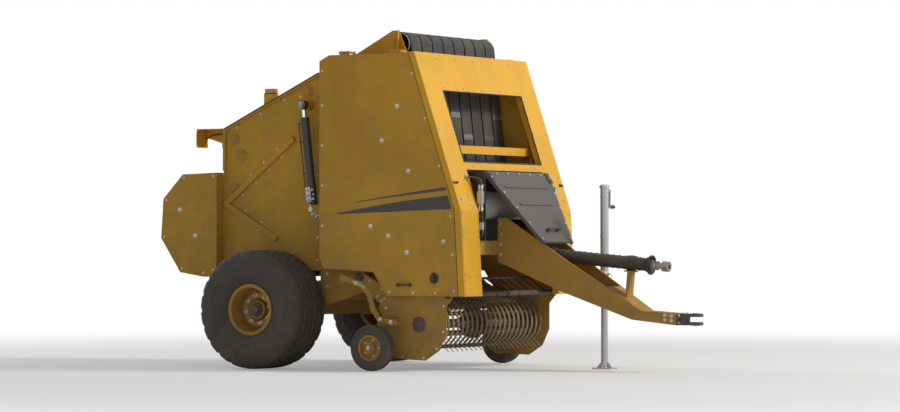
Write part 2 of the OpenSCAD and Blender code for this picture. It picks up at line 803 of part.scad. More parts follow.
module warning_plate() {
    color("#e2571f") at_axle() translate([-635, 0, gate_rear_z - 175]) rotate([90, 0, -90]) linear_extrude(4)
        polygon([[-180, 25], [180, 25], [205, 65], [30, 345], [-30, 345], [-205, 65]]);
}

module barrel(side) {
    color(dark) at_axle() sided(side) aim(cyl_base, cyl_top, cyl_y) difference() {
        union() {
            rotate([90, 0, 0]) cylinder(h = eye_w - 4, r = 40, center = true, $fn = 48);
            translate([0, 0, 30]) cylinder(h = 30, r = 28, $fn = 48);
            translate([0, 0, 52]) cylinder(h = cyl_len - 172, r = barrel_r, $fn = 48);
        }
        rotate([90, 0, 0]) cylinder(h = eye_w + 2, r = cyl_pin_r + run, center = true, $fn = 48);
        translate([0, 0, 70]) cylinder(h = cyl_len, r = rod_r + run, $fn = 48);
    }
}

module rod(side) {
    color(zinc) at_axle() sided(side) aim(cyl_base, cyl_top, cyl_y) {
        translate([0, 0, 170]) cylinder(h = cyl_len - 190, r = rod_r, $fn = 48);
        translate([0, 0, cyl_len]) rotate([90, 0, 0]) cylinder(h = eye_w, r = 38, center = true, $fn = 48);
        translate([0, 0, cyl_len]) rotate([-90, 0, 0]) cylinder(h = eye_w / 2 + 12, r = cyl_pin_r, $fn = 48);
    }
}

module shield(side) {
    color(yellow) at_axle() sided(side) {
        difference() {
            union() {
                tray(shield_outline, half_body - shield_depth, half_body, sheet);
                for (x = hinge_xs) {
                    translate([x - hinge_w / 2, hinge_y, hinge_z]) rotate([0, 90, 0])
                        cylinder(h = hinge_w, r = 12, $fn = 32);
                    translate([x - hinge_w / 2, hinge_y - 6, face_top_z - 14])
                        cube([hinge_w, 12, hinge_z - face_top_z + 14]);
                }
            }
            for (x = hinge_xs) translate([x - hinge_w, hinge_y, hinge_z]) rotate([0, 90, 0])
                cylinder(h = 2 * hinge_w, r = hinge_pin_r + run, $fn = 32);
        }
    }
}

// A pickup end plate with its pivot boss and the arm of its gauge wheel
module pickup_side(side) {
    end_plate = [[860, 760], [1130, 560], [1110, 330], [1140, 150], [1330, 100], [1560, 90], [1700, 180],
        [1770, 330], [1770, 560], [1840, 640], [1820, 700], [1740, 700], [1640, 640], [1200, 700],
        [920, 850], [860, 840]];
    color(yellow) at_axle() sided(side) {
        difference() {
            union() {
                slab(pickup_y - plate_t, pickup_y) polygon(end_plate);
                bar(pickup_pivot[0], pickup_pivot[1], 38, wall_out + bracket_t + 3, pickup_y);
            }
            bar(windguard_c[0], windguard_c[1], 12 + run, 0, pickup_y + 1);
            bar(reel_c[0], reel_c[1], 22 + run, 0, pickup_y + 1);
        }
        bar(pickup_pivot[0], pickup_pivot[1], 20, wall_out + seat, wall_out + bracket_t + 10);
        gauge_arm();
    }
}

// The tube across the pickup, and the deck that leads the crop from the bands to the chamber
module pickup_deck() {
    color(yellow) at_axle() {
        slab(-pickup_y + plate_t, pickup_y - plate_t)
            polygon([[985, 660], [1160, 556], [1166, 566], [991, 670]]);
        bar(1120, 540, 35, -pickup_y + plate_t, pickup_y - plate_t);
    }
}

// The curved arm outside the end plate that carries a gauge wheel
module gauge_arm() {
    arm = [[810, 800], [1000, 742], [1082, 660], [1122, 530], [1192, 432], [1330, 420]];
    y0 = gauge_y - gauge_w / 2 - 32;
    slab(y0, y0 + 14) for (i = [0:len(arm) - 2]) {
        strip(arm[i], arm[i + 1], 46);
        translate(arm[i]) circle(r = 23, $fn = 32);
    }
    slab(y0, y0 + 14) strip([1192, 432], gauge_c, 46);
    bar(1300, 420, 28, pickup_y - 1, y0 + 14);
    bar(1195, 440, 22, pickup_y - 1, y0 + 14);
    bar(gauge_c[0], gauge_c[1], 16, y0, gauge_y + gauge_w / 2 + 6);
}

module stripper_bands() {
    color(yellow) at_axle() {
        for (i = [0:band_count - 1])
            translate([0, -pickup_y + plate_t + 50 + i * band_pitch - 17, 0]) slab(0, 34) difference() {
                translate(reel_c) circle(r = band_r, $fn = 64);
                translate(reel_c) circle(r = band_r - 3, $fn = 64);
                translate([reel_c[0] - 2 * band_r, reel_c[1] - band_r - 1])
                    square([2 * band_r, 2 * band_r + 2]);
            }
        // Straight legs of the bands, and the rails that hold them clear of the tines
        for (s = [-1, 1]) {
            leg_z = reel_c[1] + s * (band_r - 1.5) - 1.5;
            for (i = [0:band_count - 1])
                translate([rail_x, -pickup_y + plate_t + 50 + i * band_pitch - 17, leg_z])
                    cube([reel_c[0] - rail_x, 34, 3]);
            translate([rail_x - 20, -pickup_y + plate_t, leg_z - 8]) cube([30, 2 * (pickup_y - plate_t), 19]);
        }
    }
}

module pickup_reel() {
    bar_r = 120;
    reel_y = pickup_y - plate_t - 12;
    color(steel) at_axle() {
        bar(reel_c[0], reel_c[1], 40, -reel_y, reel_y);
        bar(reel_c[0], reel_c[1], 22, -pickup_y, pickup_y);
        for (y = [-reel_y, -6, reel_y - 12]) bar(reel_c[0], reel_c[1], 140, y, y + 12);
        for (k = [0:reel_bars - 1])
            translate([reel_c[0], 0, reel_c[1]]) rotate([0, 45 + 360 * k / reel_bars, 0]) translate([0, 0, bar_r]) {
                rotate([-90, 0, 0]) translate([0, 0, -reel_y]) cylinder(h = 2 * reel_y, r = 13, $fn = 24);
                for (i = [0:band_count - 2])
                    translate([0, -pickup_y + plate_t + 50 + (i + 0.5) * band_pitch, 0])
                        cylinder(h = tine_reach - bar_r, r = tine_r, $fn = 8);
            }
    }
}

// The crop guard: rods rise from a pivot bar to a cross bar, and run back from there over the tines
module windguard_bar() {
    color(dark) at_axle() {
        bar(windguard_c[0], windguard_c[1], 12, -pickup_y, pickup_y);
        bar(windguard_c[0], windguard_c[1], 24, -pickup_y + plate_t + 6, pickup_y - plate_t - 6);
        // The cross bar stops beside the rails, which the outer rods pass on their outside
        bar(guard_bend[0], guard_bend[1], guard_bar_r, -wall_in + 15, wall_in - 15);
        both_sides() bar(guard_bend[0], guard_bend[1], guard_bar_r, guard_y - 8, guard_y + 8);
        for (y = guard_rows) aim(windguard_c, guard_bend, y)
            cylinder(h = norm(windguard_c - guard_bend), r = guard_rod_r, $fn = 12);
    }
}

module windguard_rods() {
    color(dark) at_axle() difference() {
        for (y = guard_rows) aim(guard_bend, guard_tip, y)
            cylinder(h = norm(guard_bend - guard_tip), r = guard_rod_r, $fn = 12);
        bar(guard_bend[0], guard_bend[1], guard_bar_r + seat, -guard_y - 30, guard_y + 30);
    }
}

module gauge_wheel(side) {
    color(rubber) at_axle() sided(side) wheel_turn(gauge_c[0], gauge_y, gauge_c[1]) {
        polygon(round_box(gauge_w, gauge_r * 0.5, gauge_r));
        translate([-12, 40]) square([24, gauge_r * 0.6]);
        translate([-gauge_w / 2 + 10, 16 + run]) square([gauge_w - 20, 30]);
    }
}

frame_side(1);  // frame_side_left
frame_side(-1);  // frame_side_right
cross_members();
axle();
chamber_wall(1);  // chamber_wall_left
chamber_wall(-1);  // chamber_wall_right
wall_ties();
front_frame();
side_roofs();
belts_front();
rollers_front();
net_box();
net_roll();
front_cover();
tongue();
hitch();
gearbox();
driveline_guard();
driveline();
drive_left();
drive_right();
jack_tube();
jack_leg();
tyre(1);  // tyre_left
tyre(-1);  // tyre_right
rim(1);  // rim_left
rim(-1);  // rim_right
gate_wall(1);  // gate_wall_left
gate_wall(-1);  // gate_wall_right
gate_beams();
rear_cover(1);  // rear_cover_left
rear_cover(-1);  // rear_cover_right
belts_rear();
rollers_rear();
sign_rail();
lamp_bracket(1);  // lamp_bracket_left
lamp_bracket(-1);  // lamp_bracket_right
lamp_lenses();
warning_plate();
barrel(1);  // barrel_left
barrel(-1);  // barrel_right
rod(1);  // rod_left
rod(-1);  // rod_right
shield(1);  // shield_left
shield(-1);  // shield_right
pickup_side(1);  // pickup_side_left
pickup_side(-1);  // pickup_side_right
pickup_deck();
stripper_bands();
pickup_reel();
windguard_bar();
windguard_rods();
gauge_wheel(1);  // gauge_wheel_left
gauge_wheel(-1);  // gauge_wheel_right
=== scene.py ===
import math

import bmesh
import bpy
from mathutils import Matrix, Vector


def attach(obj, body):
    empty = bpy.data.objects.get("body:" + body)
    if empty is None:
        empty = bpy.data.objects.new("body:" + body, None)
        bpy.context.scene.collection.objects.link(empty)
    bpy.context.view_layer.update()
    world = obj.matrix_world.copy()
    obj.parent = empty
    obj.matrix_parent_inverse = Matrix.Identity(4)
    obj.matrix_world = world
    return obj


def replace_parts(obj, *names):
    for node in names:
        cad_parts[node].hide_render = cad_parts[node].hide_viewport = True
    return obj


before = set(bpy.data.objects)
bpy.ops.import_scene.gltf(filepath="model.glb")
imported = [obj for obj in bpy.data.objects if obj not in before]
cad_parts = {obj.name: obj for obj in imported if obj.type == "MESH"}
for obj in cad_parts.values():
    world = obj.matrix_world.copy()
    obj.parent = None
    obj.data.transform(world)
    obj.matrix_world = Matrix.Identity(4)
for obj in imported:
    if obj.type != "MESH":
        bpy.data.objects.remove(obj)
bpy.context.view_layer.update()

AXLE_X = -1269
LEFT, RIGHT = 1, -1
SIDES = ((LEFT, "left"), (RIGHT, "right"))
FORWARD, ACROSS, UP = (Vector(v) for v in ((1, 0, 0), (0, 1, 0), (0, 0, 1)))
TURN = 2 * math.pi


# Node trees
class Graph:
    """A short way to write a node tree. A socket takes a number, a tuple or another node's output."""

    def __init__(self, tree):
        self.tree = tree

    def put(self, socket, value):
        if isinstance(value, bpy.types.NodeSocket):
            self.tree.links.new(value, socket)
        elif socket.type == "RGBA":
            socket.default_value = (*value, 1)
        else:
            socket.default_value = value

    def new(self, kind, inputs=(), **settings):
        """A node with its settings and its inputs, which are told by name or number."""
        node = self.tree.nodes.new("ShaderNode" + kind)
        for key, value in settings.items():
            setattr(node, key, value)
        for key, value in dict(inputs).items():
            self.put(node.inputs[key], value)
        return node

    def math(self, what, a, b):
        return self.new("Math", {0: a, 1: b}, operation=what).outputs[0]

    def fit(self, value, lo, hi, to_lo=0.0, to_hi=1.0, **settings):
        inputs = {"Value": value, "From Min": lo, "From Max": hi, "To Min": to_lo, "To Max": to_hi}
        return self.new("MapRange", inputs, **settings).outputs[0]

    def blend(self, fac, a, b):
        """One shader over another."""
        return self.new("MixShader", {"Fac": fac, 1: a.outputs[0], 2: b.outputs[0]}).outputs[0]


class Material(Graph):
    """A material, whose textures are placed by its objects' coordinates."""

    def __init__(self, name):
        self.material = bpy.data.materials.new(name)
        self.material.use_nodes = True
        super().__init__(self.material.node_tree)
        self.shader = self.tree.nodes["Principled BSDF"]
        self.coords = self.new("TexCoord").outputs["Object"]

    def surface(self, inputs):
        """Sets the shader's own inputs."""
        for key, value in inputs.items():
            self.put(self.shader.inputs[key], value)

    def scaled(self, x, y, z):
        return self.new("Mapping", {"Vector": self.coords, "Scale": (x, y, z)}).outputs[0]

    def noise(self, scale, detail, rough, source=None):
        inputs = {"Vector": source or self.coords, "Scale": scale, "Detail": detail, "Roughness": rough}
        return self.new("TexNoise", inputs).outputs["Fac"]

    def wave(self, direction, scale, distortion=0.0, source=None):
        inputs = {"Vector": source or self.coords, "Scale": scale, "Distortion": distortion}
        return self.new("TexWave", inputs, bands_direction=direction).outputs["Fac"]

    def mix(self, fac, a, b):
        return self.new("Mix", {0: fac, 6: a, 7: b}, data_type="RGBA").outputs[2]

    def height(self):
        return self.new("SeparateXYZ", {0: self.coords}).outputs["Z"]

    def bump(self, height, strength, distance, before=None):
        inputs = {"Height": height, "Strength": strength, "Distance": distance}
        if before is not None:
            inputs["Normal"] = before
        return self.new("Bump", inputs).outputs[0]


# Camera, light and floor
def aimed(name, data, where, target):
    """Puts a camera or lamp into the scene and aims it."""
    ob = bpy.data.objects.new(name, data)
    ob.location = where
    ob.rotation_euler = (Vector(target) - Vector(where)).to_track_quat("-Z", "Y").to_euler()
    bpy.context.scene.collection.objects.link(ob)
    return ob


def make_camera():
    data = bpy.data.cameras.new("camera")
    data.sensor_width, data.lens, data.clip_end = 36, 138, 200
    azimuth, distance, height = math.radians(30), 30.6, 1.1
    where = (distance * math.sin(azimuth), -distance * math.cos(azimuth), height)
    bpy.context.scene.camera = aimed("camera", data, where, (0, 0, 1.43))


def make_lamp(name, where, target, size, power, color):
    data = bpy.data.lights.new(name, "AREA")
    data.shape, data.size, data.energy, data.color = "DISK", size, power, color
    aimed(name, data, where, target)


def make_world():
    """Soft light from all round. Where the camera, gloss or glass sees the background, it is white."""
    world = bpy.data.worlds.new("studio")
    bpy.context.scene.world = world
    world.use_nodes = True
    world.node_tree.nodes.clear()
    g = Graph(world.node_tree)
    light = g.new("Background", {"Color": (0.88, 0.93, 1.0), "Strength": 0.24})
    white = g.new("Background", {"Color": (1, 1, 1), "Strength": 1.0})
    ray = g.new("LightPath").outputs
    seen = g.math("MAXIMUM", ray["Is Camera Ray"], ray["Is Glossy Ray"])
    seen = g.math("MAXIMUM", seen, ray["Is Transmission Ray"])
    g.new("OutputWorld", {"Surface": g.blend(seen, light, white)})


def make_floor():
    """Pale and matt near the machine, and as bright as the background further out."""
    far, drop = 90, 0.002
    me = bpy.data.meshes.new("floor")
    me.from_pydata([(-far, -far, 0), (far, -far, 0), (far, far, 0), (-far, far, 0)], [], [(0, 1, 2, 3)])
    floor = bpy.data.objects.new("floor", me)
    floor.location.z = -drop
    bpy.context.scene.collection.objects.link(floor)
    m = Material("floor")
    m.surface({"Base Color": (0.88, 0.88, 0.87), "Roughness": 0.9})
    away = m.new("VectorMath", {0: m.coords}, operation="LENGTH").outputs["Value"]
    fade = m.fit(away, 3.5, 15.0, 0.25, interpolation_type="SMOOTHERSTEP")
    seen = m.math("MULTIPLY", fade, m.new("LightPath").outputs["Is Camera Ray"])
    glow = m.new("Emission", {"Color": (1, 1, 1), "Strength": 1.0})
    m.put(m.tree.nodes["Material Output"].inputs["Surface"], m.blend(seen, m.shader, glow))
    me.materials.append(m.material)


make_camera()
make_world()
make_floor()
make_lamp("key", (15, 5.5, 11.5), (0.6, 0, 1.2), 5.0, 2150, (1.0, 0.96, 0.89))
make_lamp("fill", (4, -17, 7), (0, 0, 1.2), 9.0, 120, (0.90, 0.95, 1.0))
make_lamp("rear", (-14, 2, 9), (0, 0, 1.3), 7.0, 520, (0.95, 0.97, 1.0))
bpy.context.scene.view_settings.view_transform = "Standard"

# Materials
DUST = (0.30, 0.205, 0.105)
YELLOW = (0.86, 0.445, 0.012)
RUBBED = (0.34, 0.25, 0.15)
EYE_FROM = 2.270


def dusty(name, base, rough, dust, metallic=0.0, grain=260, grain_bump=0.12, wear=None, wear_at=0.70,
          coat=0.0, low=1.9, tone=0.10, stretch=None, dust_color=DUST, edge=None, shine=0.5):
    """A surface of uneven tone with fine grain, worn flecks and edges, and dust that thickens downwards (on
    the side and low yellows, a darker base and more dust also hold painted shade).
    """
    m = Material(name)
    slow = m.noise(1.4, 3.0, 0.5)
    fine = m.noise(grain, 3.0, 0.6, m.scaled(*stretch) if stretch else None)
    patch = m.noise(5.5, 9.0, 0.68)
    streak = m.noise(9.0, 6.0, 0.6, m.scaled(1.0, 1.0, 0.12))
    dark, light = (tuple(min(1.0, c * k) for c in base) for k in (1 - tone, 1 + tone))
    color = m.mix(m.fit(slow, 0.35, 0.65), dark, light)
    color = m.mix(m.fit(streak, 0.5, 0.75, 0.0, 0.22), color, tuple(c * 0.62 for c in base))
    if wear:
        color = m.mix(m.fit(m.noise(38.0, 6.0, 0.75), wear_at, wear_at + 0.03), color, wear)
    if edge:
        soft = m.new("Bevel", {"Radius": 0.005}, samples=4).outputs[0]
        sharp = m.new("NewGeometry").outputs["Normal"]
        apart = m.new("VectorMath", {0: soft, 1: sharp}, operation="DOT_PRODUCT").outputs["Value"]
        uneven = m.fit(m.noise(14.0, 7.0, 0.7), 0.42, 0.62, 0.0, 0.75)
        color = m.mix(m.math("MULTIPLY", m.fit(apart, 0.985, 0.88), uneven), color, edge)
    lift = m.fit(m.height(), 0.0, low, dust, dust * 0.22)
    mask = m.math("MULTIPLY", m.fit(patch, 0.32, 0.68), lift)
    mask = m.fit(m.math("ADD", mask, m.math("MULTIPLY", lift, 0.35)), 0.0, 1.0, 0.0, 0.92)
    matt = m.math("ADD", mask, m.math("MULTIPLY", slow, 0.15))
    m.surface({"Base Color": m.mix(mask, color, dust_color), "Roughness": m.fit(matt, 0.0, 0.8, rough, 0.92),
               "Metallic": metallic, "Specular IOR Level": shine,
               "Normal": m.bump(fine, grain_bump, 0.0015, m.bump(slow, 0.25, 0.01))})
    if coat:
        m.surface({"Coat Weight": coat, "Coat Roughness": 0.25})
    return m


def belt_rubber():
    """Ribbed belt: a fine diamond pattern pressed in the rubber, polished and dusty in bands."""
    m = Material("belt_rubber")
    turned = [m.new("Mapping", {"Vector": m.coords, "Rotation": (a, 0, 0)}).outputs[0] for a in (0.72, -0.72)]
    pattern = m.math("MULTIPLY", *(m.wave("Z", 28, 0.4, source) for source in turned))
    rubbed = m.noise(2.2, 3.0, 0.5, m.scaled(0.3, 9.0, 0.3))
    color = m.mix(m.fit(rubbed, 0.35, 0.7), (0.028, 0.028, 0.030), (0.066, 0.064, 0.062))
    # Painted shade: the pressed grooves of the diamond pattern are darkened
    color = m.mix(m.fit(pattern, 0.0, 0.5, 0.22, 0.0), color, (0.012, 0.012, 0.012))
    color = m.mix(m.fit(m.noise(4.0, 8.0, 0.65), 0.45, 0.75, 0.0, 0.40), color, (0.20, 0.16, 0.11))
    m.surface({"Base Color": color, "Roughness": m.fit(rubbed, 0.3, 0.7, 0.55, 0.8),
               "Normal": m.bump(pattern, 0.5, 0.003)})
    return m


def net_wound():
    """Net wound on its core: fine threads side by side."""
    m = Material("wound_net")
    threads = m.wave("Y", 90, 1.2)
    color = m.mix(m.fit(threads, 0, 1, 0.0, 0.5), (0.74, 0.73, 0.69), (0.40, 0.44, 0.42))
    color = m.mix(m.fit(m.noise(60, 5, 0.6), 0.5, 0.8, 0, 0.4), color, (0.30, 0.26, 0.2))
    m.surface({"Base Color": color, "Roughness": 0.8, "Normal": m.bump(threads, 0.4, 0.002)})
    return m


def lens(name, color):
    """Ribbed plastic of a lamp or reflector, with dirt on it."""
    m = Material(name)
    dirty = m.mix(m.fit(m.noise(20, 6, 0.6), 0.5, 0.8, 0, 0.5), color, (0.20, 0.13, 0.08))
    m.surface({"Base Color": dirty, "Roughness": 0.18, "Coat Weight": 0.5,
               "Normal": m.bump(m.wave("Y", 40), 0.3, 0.002)})
    return m


def painted_eye():
    """A chrome rod whose eye, above EYE_FROM, is painted dark."""
    m = dusty("chrome_rod", (0.78, 0.79, 0.81), 0.10, 0.05, metallic=1.0, grain=400,
              grain_bump=0.02, tone=0.02)
    eye = m.fit(m.height(), EYE_FROM, EYE_FROM + 0.004)
    color, rough = (m.shader.inputs[key].links[0].from_socket for key in ("Base Color", "Roughness"))
    m.surface({"Base Color": m.mix(eye, color, (0.035, 0.034, 0.036)),
               "Roughness": m.math("MAXIMUM", rough, m.math("MULTIPLY", eye, 0.45)),
               "Metallic": m.fit(eye, 0.0, 1.0, 1.0, 0.0)})
    return m


mats = {
    "yellow": dusty("yellow_paint", YELLOW, 0.36, 0.26, wear=(0.16, 0.12, 0.09), wear_at=0.735, coat=0.12,
                    edge=RUBBED, shine=0.32),
    # A darker, duller copy of the yellow paint, with dust reaching to the top: painted shade on the side
    # panels, besides real dust
    "yellow_side": dusty("shaded_yellow_side_panel", (0.72, 0.375, 0.016), 0.46, 0.62, wear=(0.20, 0.14, 0.08),
                         wear_at=0.73, coat=0.06, low=3.2, edge=RUBBED, shine=0.3),
    # A still darker copy of the yellow paint, with thick dust: painted shade on the low parts under the
    # machine, besides real dust
    "shaded_yellow_low": dusty("shaded_yellow_low", (0.60, 0.31, 0.022), 0.5, 0.80, wear=(0.12, 0.08, 0.06), wear_at=0.69,
                        edge=RUBBED, shine=0.3),
    "dark": dusty("dark_paint", (0.050, 0.049, 0.052), 0.42, 0.30, wear=(0.20, 0.19, 0.18), wear_at=0.74,
                  coat=0.1, edge=(0.20, 0.18, 0.16), shine=0.4),
    "cover": dusty("cover_grey", (0.085, 0.080, 0.082), 0.48, 0.26, wear=(0.22, 0.21, 0.2), wear_at=0.745,
                   edge=(0.22, 0.20, 0.18), shine=0.4),
    # Yellow paint on the bands, darkened mostly to dark metal: partly wear where the crop rubs, partly
    # painted shade for the pickup in shadow under the machine
    "band": dusty("rubbed_and_shaded_bands", (0.34, 0.175, 0.020), 0.46, 0.55, grain=160, wear=(0.085, 0.070, 0.056),
                  wear_at=0.47, edge=(0.30, 0.27, 0.24), shine=0.4),
    "stripe": dusty("stripe_grey", (0.040, 0.040, 0.045), 0.38, 0.30, grain=300, grain_bump=0.05),
    "steel": dusty("worn_steel", (0.30, 0.29, 0.28), 0.36, 0.45, metallic=0.85, grain=120,
                   wear=(0.22, 0.12, 0.07), wear_at=0.66, stretch=(1.0, 0.08, 1.0)),
    "roller": dusty("polished_roller", (0.42, 0.41, 0.40), 0.26, 0.14, metallic=0.9, grain=160,
                    stretch=(1.0, 0.05, 1.0)),
    "rod": painted_eye(),
    "tine": dusty("spring_steel", (0.24, 0.22, 0.20), 0.38, 0.35, metallic=0.8, grain=220),
    "zinc": dusty("zinc_plate", (0.50, 0.51, 0.53), 0.36, 0.22, metallic=0.85, grain=60, grain_bump=0.08,
                  tone=0.06),
    "bolt": dusty("bolt_zinc", (0.55, 0.54, 0.50), 0.38, 0.22, metallic=0.8, grain=200, tone=0.06),
    "plastic": dusty("black_plastic", (0.022, 0.022, 0.024), 0.5, 0.30, grain=500, grain_bump=0.25),
    "rubber": dusty("trim_rubber", (0.018, 0.018, 0.019), 0.55, 0.22, grain=700, grain_bump=0.3),
    "tyre": dusty("tyre_rubber", (0.040, 0.038, 0.036), 0.72, 0.62, grain=420, grain_bump=0.45, low=1.3,
                  tone=0.15, dust_color=(0.165, 0.130, 0.092)),
    "belt": belt_rubber(),
    "net": net_wound(),
    "card": dusty("card_core", (0.34, 0.22, 0.12), 0.8, 0.2, grain=300),
    "red_lens": lens("red_lens", (0.50, 0.02, 0.012)),
    "amber_lens": lens("amber_lens", (0.80, 0.24, 0.01)),
    "warning": dusty("warning_sheet", (0.84, 0.17, 0.02), 0.3, 0.25, grain=300, grain_bump=0.2),
    "warning_rim": dusty("warning_rim", (0.42, 0.012, 0.012), 0.3, 0.25, grain=500),
}
# The material put in every slot of each of these pieces
# The part's own solids: a star stands for left and right
NODES_IN = {
    "yellow": "wall_ties front_frame sign_rail lamp_bracket_*",
    "yellow_side": "chamber_wall_* side_roofs gate_wall_* gate_beams rear_cover_* shield_*",
    "shaded_yellow_low": "frame_side_* cross_members axle tongue rim_* pickup_side_* pickup_deck",
    "dark": "net_box hitch gearbox barrel_* windguard_bar windguard_rods",
    "cover": "front_cover",
    "band": "stripper_bands", "steel": "driveline drive_*", "roller": "rollers_front rollers_rear",
    "rod": "rod_*", "tine": "pickup_reel", "zinc": "jack_tube jack_leg", "plastic": "driveline_guard",
    "tyre": "tyre_* gauge_wheel_*", "belt": "belts_front belts_rear", "net": "net_roll",
    "red_lens": "lamp_lenses", "warning": "warning_plate"}

for key, names in NODES_IN.items():
    for name in {n.replace("*", word) for n in names.split() for _, word in SIDES}:
        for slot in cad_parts[name].material_slots:
            slot.material = mats[key].material


# Mesh building
def at(x, y, z):
    return Vector((x, y, z))


def on_wall(side, y, places):
    """Places (x, z) on an upright wall, y out from the middle."""
    return [at(x, side * y, z) for x, z in places]


def crossed(xs, zs):
    """Every pair of the two."""
    return [(x, z) for x in xs for z in zs]


def around(u, v, n, turn=0.0):
    """Unit vectors in a circle, from u towards v."""
    return [u * math.cos(a) + v * math.sin(a) for a in (turn + TURN * k / n for k in range(n))]


def circle(r, n, turn=0.0):
    """Places round an axis that runs across the machine."""
    return [d * r for d in around(FORWARD, UP, n, turn)]


def spokes(axis, n):
    """Unit vectors round an axis, square to it."""
    side = axis.orthogonal().normalized()
    return around(side, axis.cross(side), n)


def curve(points, steps):
    """A soft line through all points but the first and the last, which only steer it."""
    out = []
    for a, b, c, d in zip(points, points[1:], points[2:], points[3:]):
        for s in range(steps):
            t = s / steps
            out.append(0.5 * (2 * b + (c - a) * t + (2 * a - 5 * b + 4 * c - d) * t * t
                              + (3 * b - a - 3 * c + d) * t ** 3))
    return out + [points[-2]]


def inset(points, d):
    """An anticlockwise outline moved inwards."""
    n = len(points)
    out = []
    for i in range(n):
        p, q, r = (Vector(points[(i + k) % n]) for k in (-1, 0, 1))
        a, b = (q - p).normalized(), (r - q).normalized()
        m, k = Vector((-a.y, a.x)), Vector((-b.y, b.x))
        out.append(q + (m + k) * d / (1 + m.dot(k)))
    return out


class Piece:
    """Gathers simple closed forms into one mesh."""

    def __init__(self):
        self.verts, self.faces = [], []

    def add(self, verts, faces):
        n = len(self.verts)
        self.verts += verts
        self.faces += [[n + i for i in face] for face in faces]

    def skin(self, loops, closed=False):
        """Loops of points joined one to the next, and either back to the first or with a face at each end."""
        n, m = len(loops[0]), len(loops)
        faces = []
        for a in range(m if closed else m - 1):
            b = (a + 1) % m
            faces += [[a * n + i, a * n + (i + 1) % n, b * n + (i + 1) % n, b * n + i] for i in range(n)]
        if not closed:
            faces += [list(range(n))[::-1], list(range((m - 1) * n, m * n))]
        self.add([p for loop in loops for p in loop], faces)

    def prism(self, outline, push):
        """An outline pushed along a vector."""
        self.skin([outline, [p + push for p in outline]])

    def slab(self, origin, u, v, us, vs, push):
        """A block whose base spans us along u and vs along v."""
        corners = ((us[0], vs[0]), (us[1], vs[0]), (us[1], vs[1]), (us[0], vs[1]))
        self.prism([origin + u * a + v * b for a, b in corners], push)

    def turned(self, base, axis, profile, n):
        """A profile of (along, radius) turned about an axis, with flat ends or, at a radius of 0, a point."""
        ways, verts, faces, rings = spokes(axis, n), [], [], []
        for along, r in profile:
            rings.append(list(range(len(verts), len(verts) + (n if r else 1))))
            verts += [base + axis * along + d * r for d in ways[:len(rings[-1])]]
        for a, b in zip(rings, rings[1:]):
            for k in range(n):
                j = (k + 1) % n
                corners = a[k % len(a)], a[j % len(a)], b[j % len(b)], b[k % len(b)]
                faces.append(list(dict.fromkeys(corners)))
        self.add(verts, faces + [ring for ring in (rings[0][::-1], rings[-1]) if len(ring) > 1])

    def stubs(self, base, axis, *rows):
        """Short bars with chamfered ends: (from, radius, straight, length, end radius, number of sides)."""
        for start, r, straight, length, end_r, n in rows:
            self.turned(base + axis * start, axis, [(0, r), (straight, r), (length, end_r)], n)

    def ring(self, base, axis, profile, n):
        """A closed profile of (along, radius) turned about an axis."""
        self.skin([[base + axis * a + d * r for a, r in profile] for d in spokes(axis, n)], closed=True)

    def band(self, base, axis, r0, r1, width, n=40):
        """A strap round a bar."""
        self.ring(base, axis, [(0, r0), (0, r1), (width, r1), (width, r0)], n)

    def bolt(self, p, axis, r, washer=True):
        """A hexagon head with its chamfer, on a washer."""
        if washer:
            self.turned(p - axis * 0.5, axis, [(0, r * 1.45), (2.2, r * 1.45), (2.8, r * 1.38)], 18)
        h = r * 0.8
        head = [(0, r), (h * 0.82, r), (h, r * 0.84), (h, r * 0.45), (h * 0.93, r * 0.38)]
        self.turned(p + axis * 1.5, axis, head, 6)

    def bolts(self, places, axis, r, washer=True):
        for p in places:
            self.bolt(p, axis, r, washer)

    def domes(self, places, axis, r):
        """Round-headed bolts on wide washers."""
        head = [(0, r * 1.25), (1.6, r * 1.25), (2.2, r * 1.15), (2.2, r * 0.80), (5.5, r * 0.66),
                (7.8, r * 0.38), (8.5, 0)]
        for p in places:
            self.turned(p - axis * 0.4, axis, head, 20)

    def flange(self, x, z, y, side, r, holes=3, turn=0.4):
        """A flanged bearing on a side wall whose face is at y, with its bolts and cap."""
        out, base = ACROSS * side, at(x, side * y, z)
        self.turned(base - out * 0.4, out, [(0, r), (5, r), (7, r - 2), (7, r * 0.62), (14, r * 0.56),
                                            (16, r * 0.40), (19, r * 0.36), (19.5, 0)], 32)
        self.bolts([base + p + out * 6.5 for p in circle(r * 0.8, holes, turn)], out, 6.5, False)

    def border(self, outline, inner, width, place):
        """A raised edge between two insets of an outline. place() puts a point at its foot, 0, or top, 1."""
        a, b = inset(outline, inner), inset(outline, inner + width)
        levels = ((a, 0), (b, 0), (b, 1), (a, 1))
        self.skin([[place(p, level) for p in loop] for loop, level in levels], closed=True)

    def hem(self, outline, side, y, width):
        """A raised edge along the outline of a side panel whose face is at y."""
        self.border(outline, 1.5, width, lambda p, top: at(p.x, side * (y + (1.6 if top else -0.4)), p.y))

    def tube(self, pts, r, n=12, smooth=6):
        """A round bar or line through points, with soft bends unless smooth is 0."""
        if smooth:
            pts = curve([pts[0] * 2 - pts[1], *pts, pts[-1] * 2 - pts[-2]], smooth)
        tangent = (pts[1] - pts[0]).normalized()
        up = tangent.orthogonal().normalized()
        loops = []
        for i, p in enumerate(pts):
            now = (pts[min(i + 1, len(pts) - 1)] - pts[max(i - 1, 0)]).normalized()
            up = tangent.rotation_difference(now) @ up
            tangent = now
            loops.append([p + d * r for d in around(up, now.cross(up), n)])
        self.skin(loops)

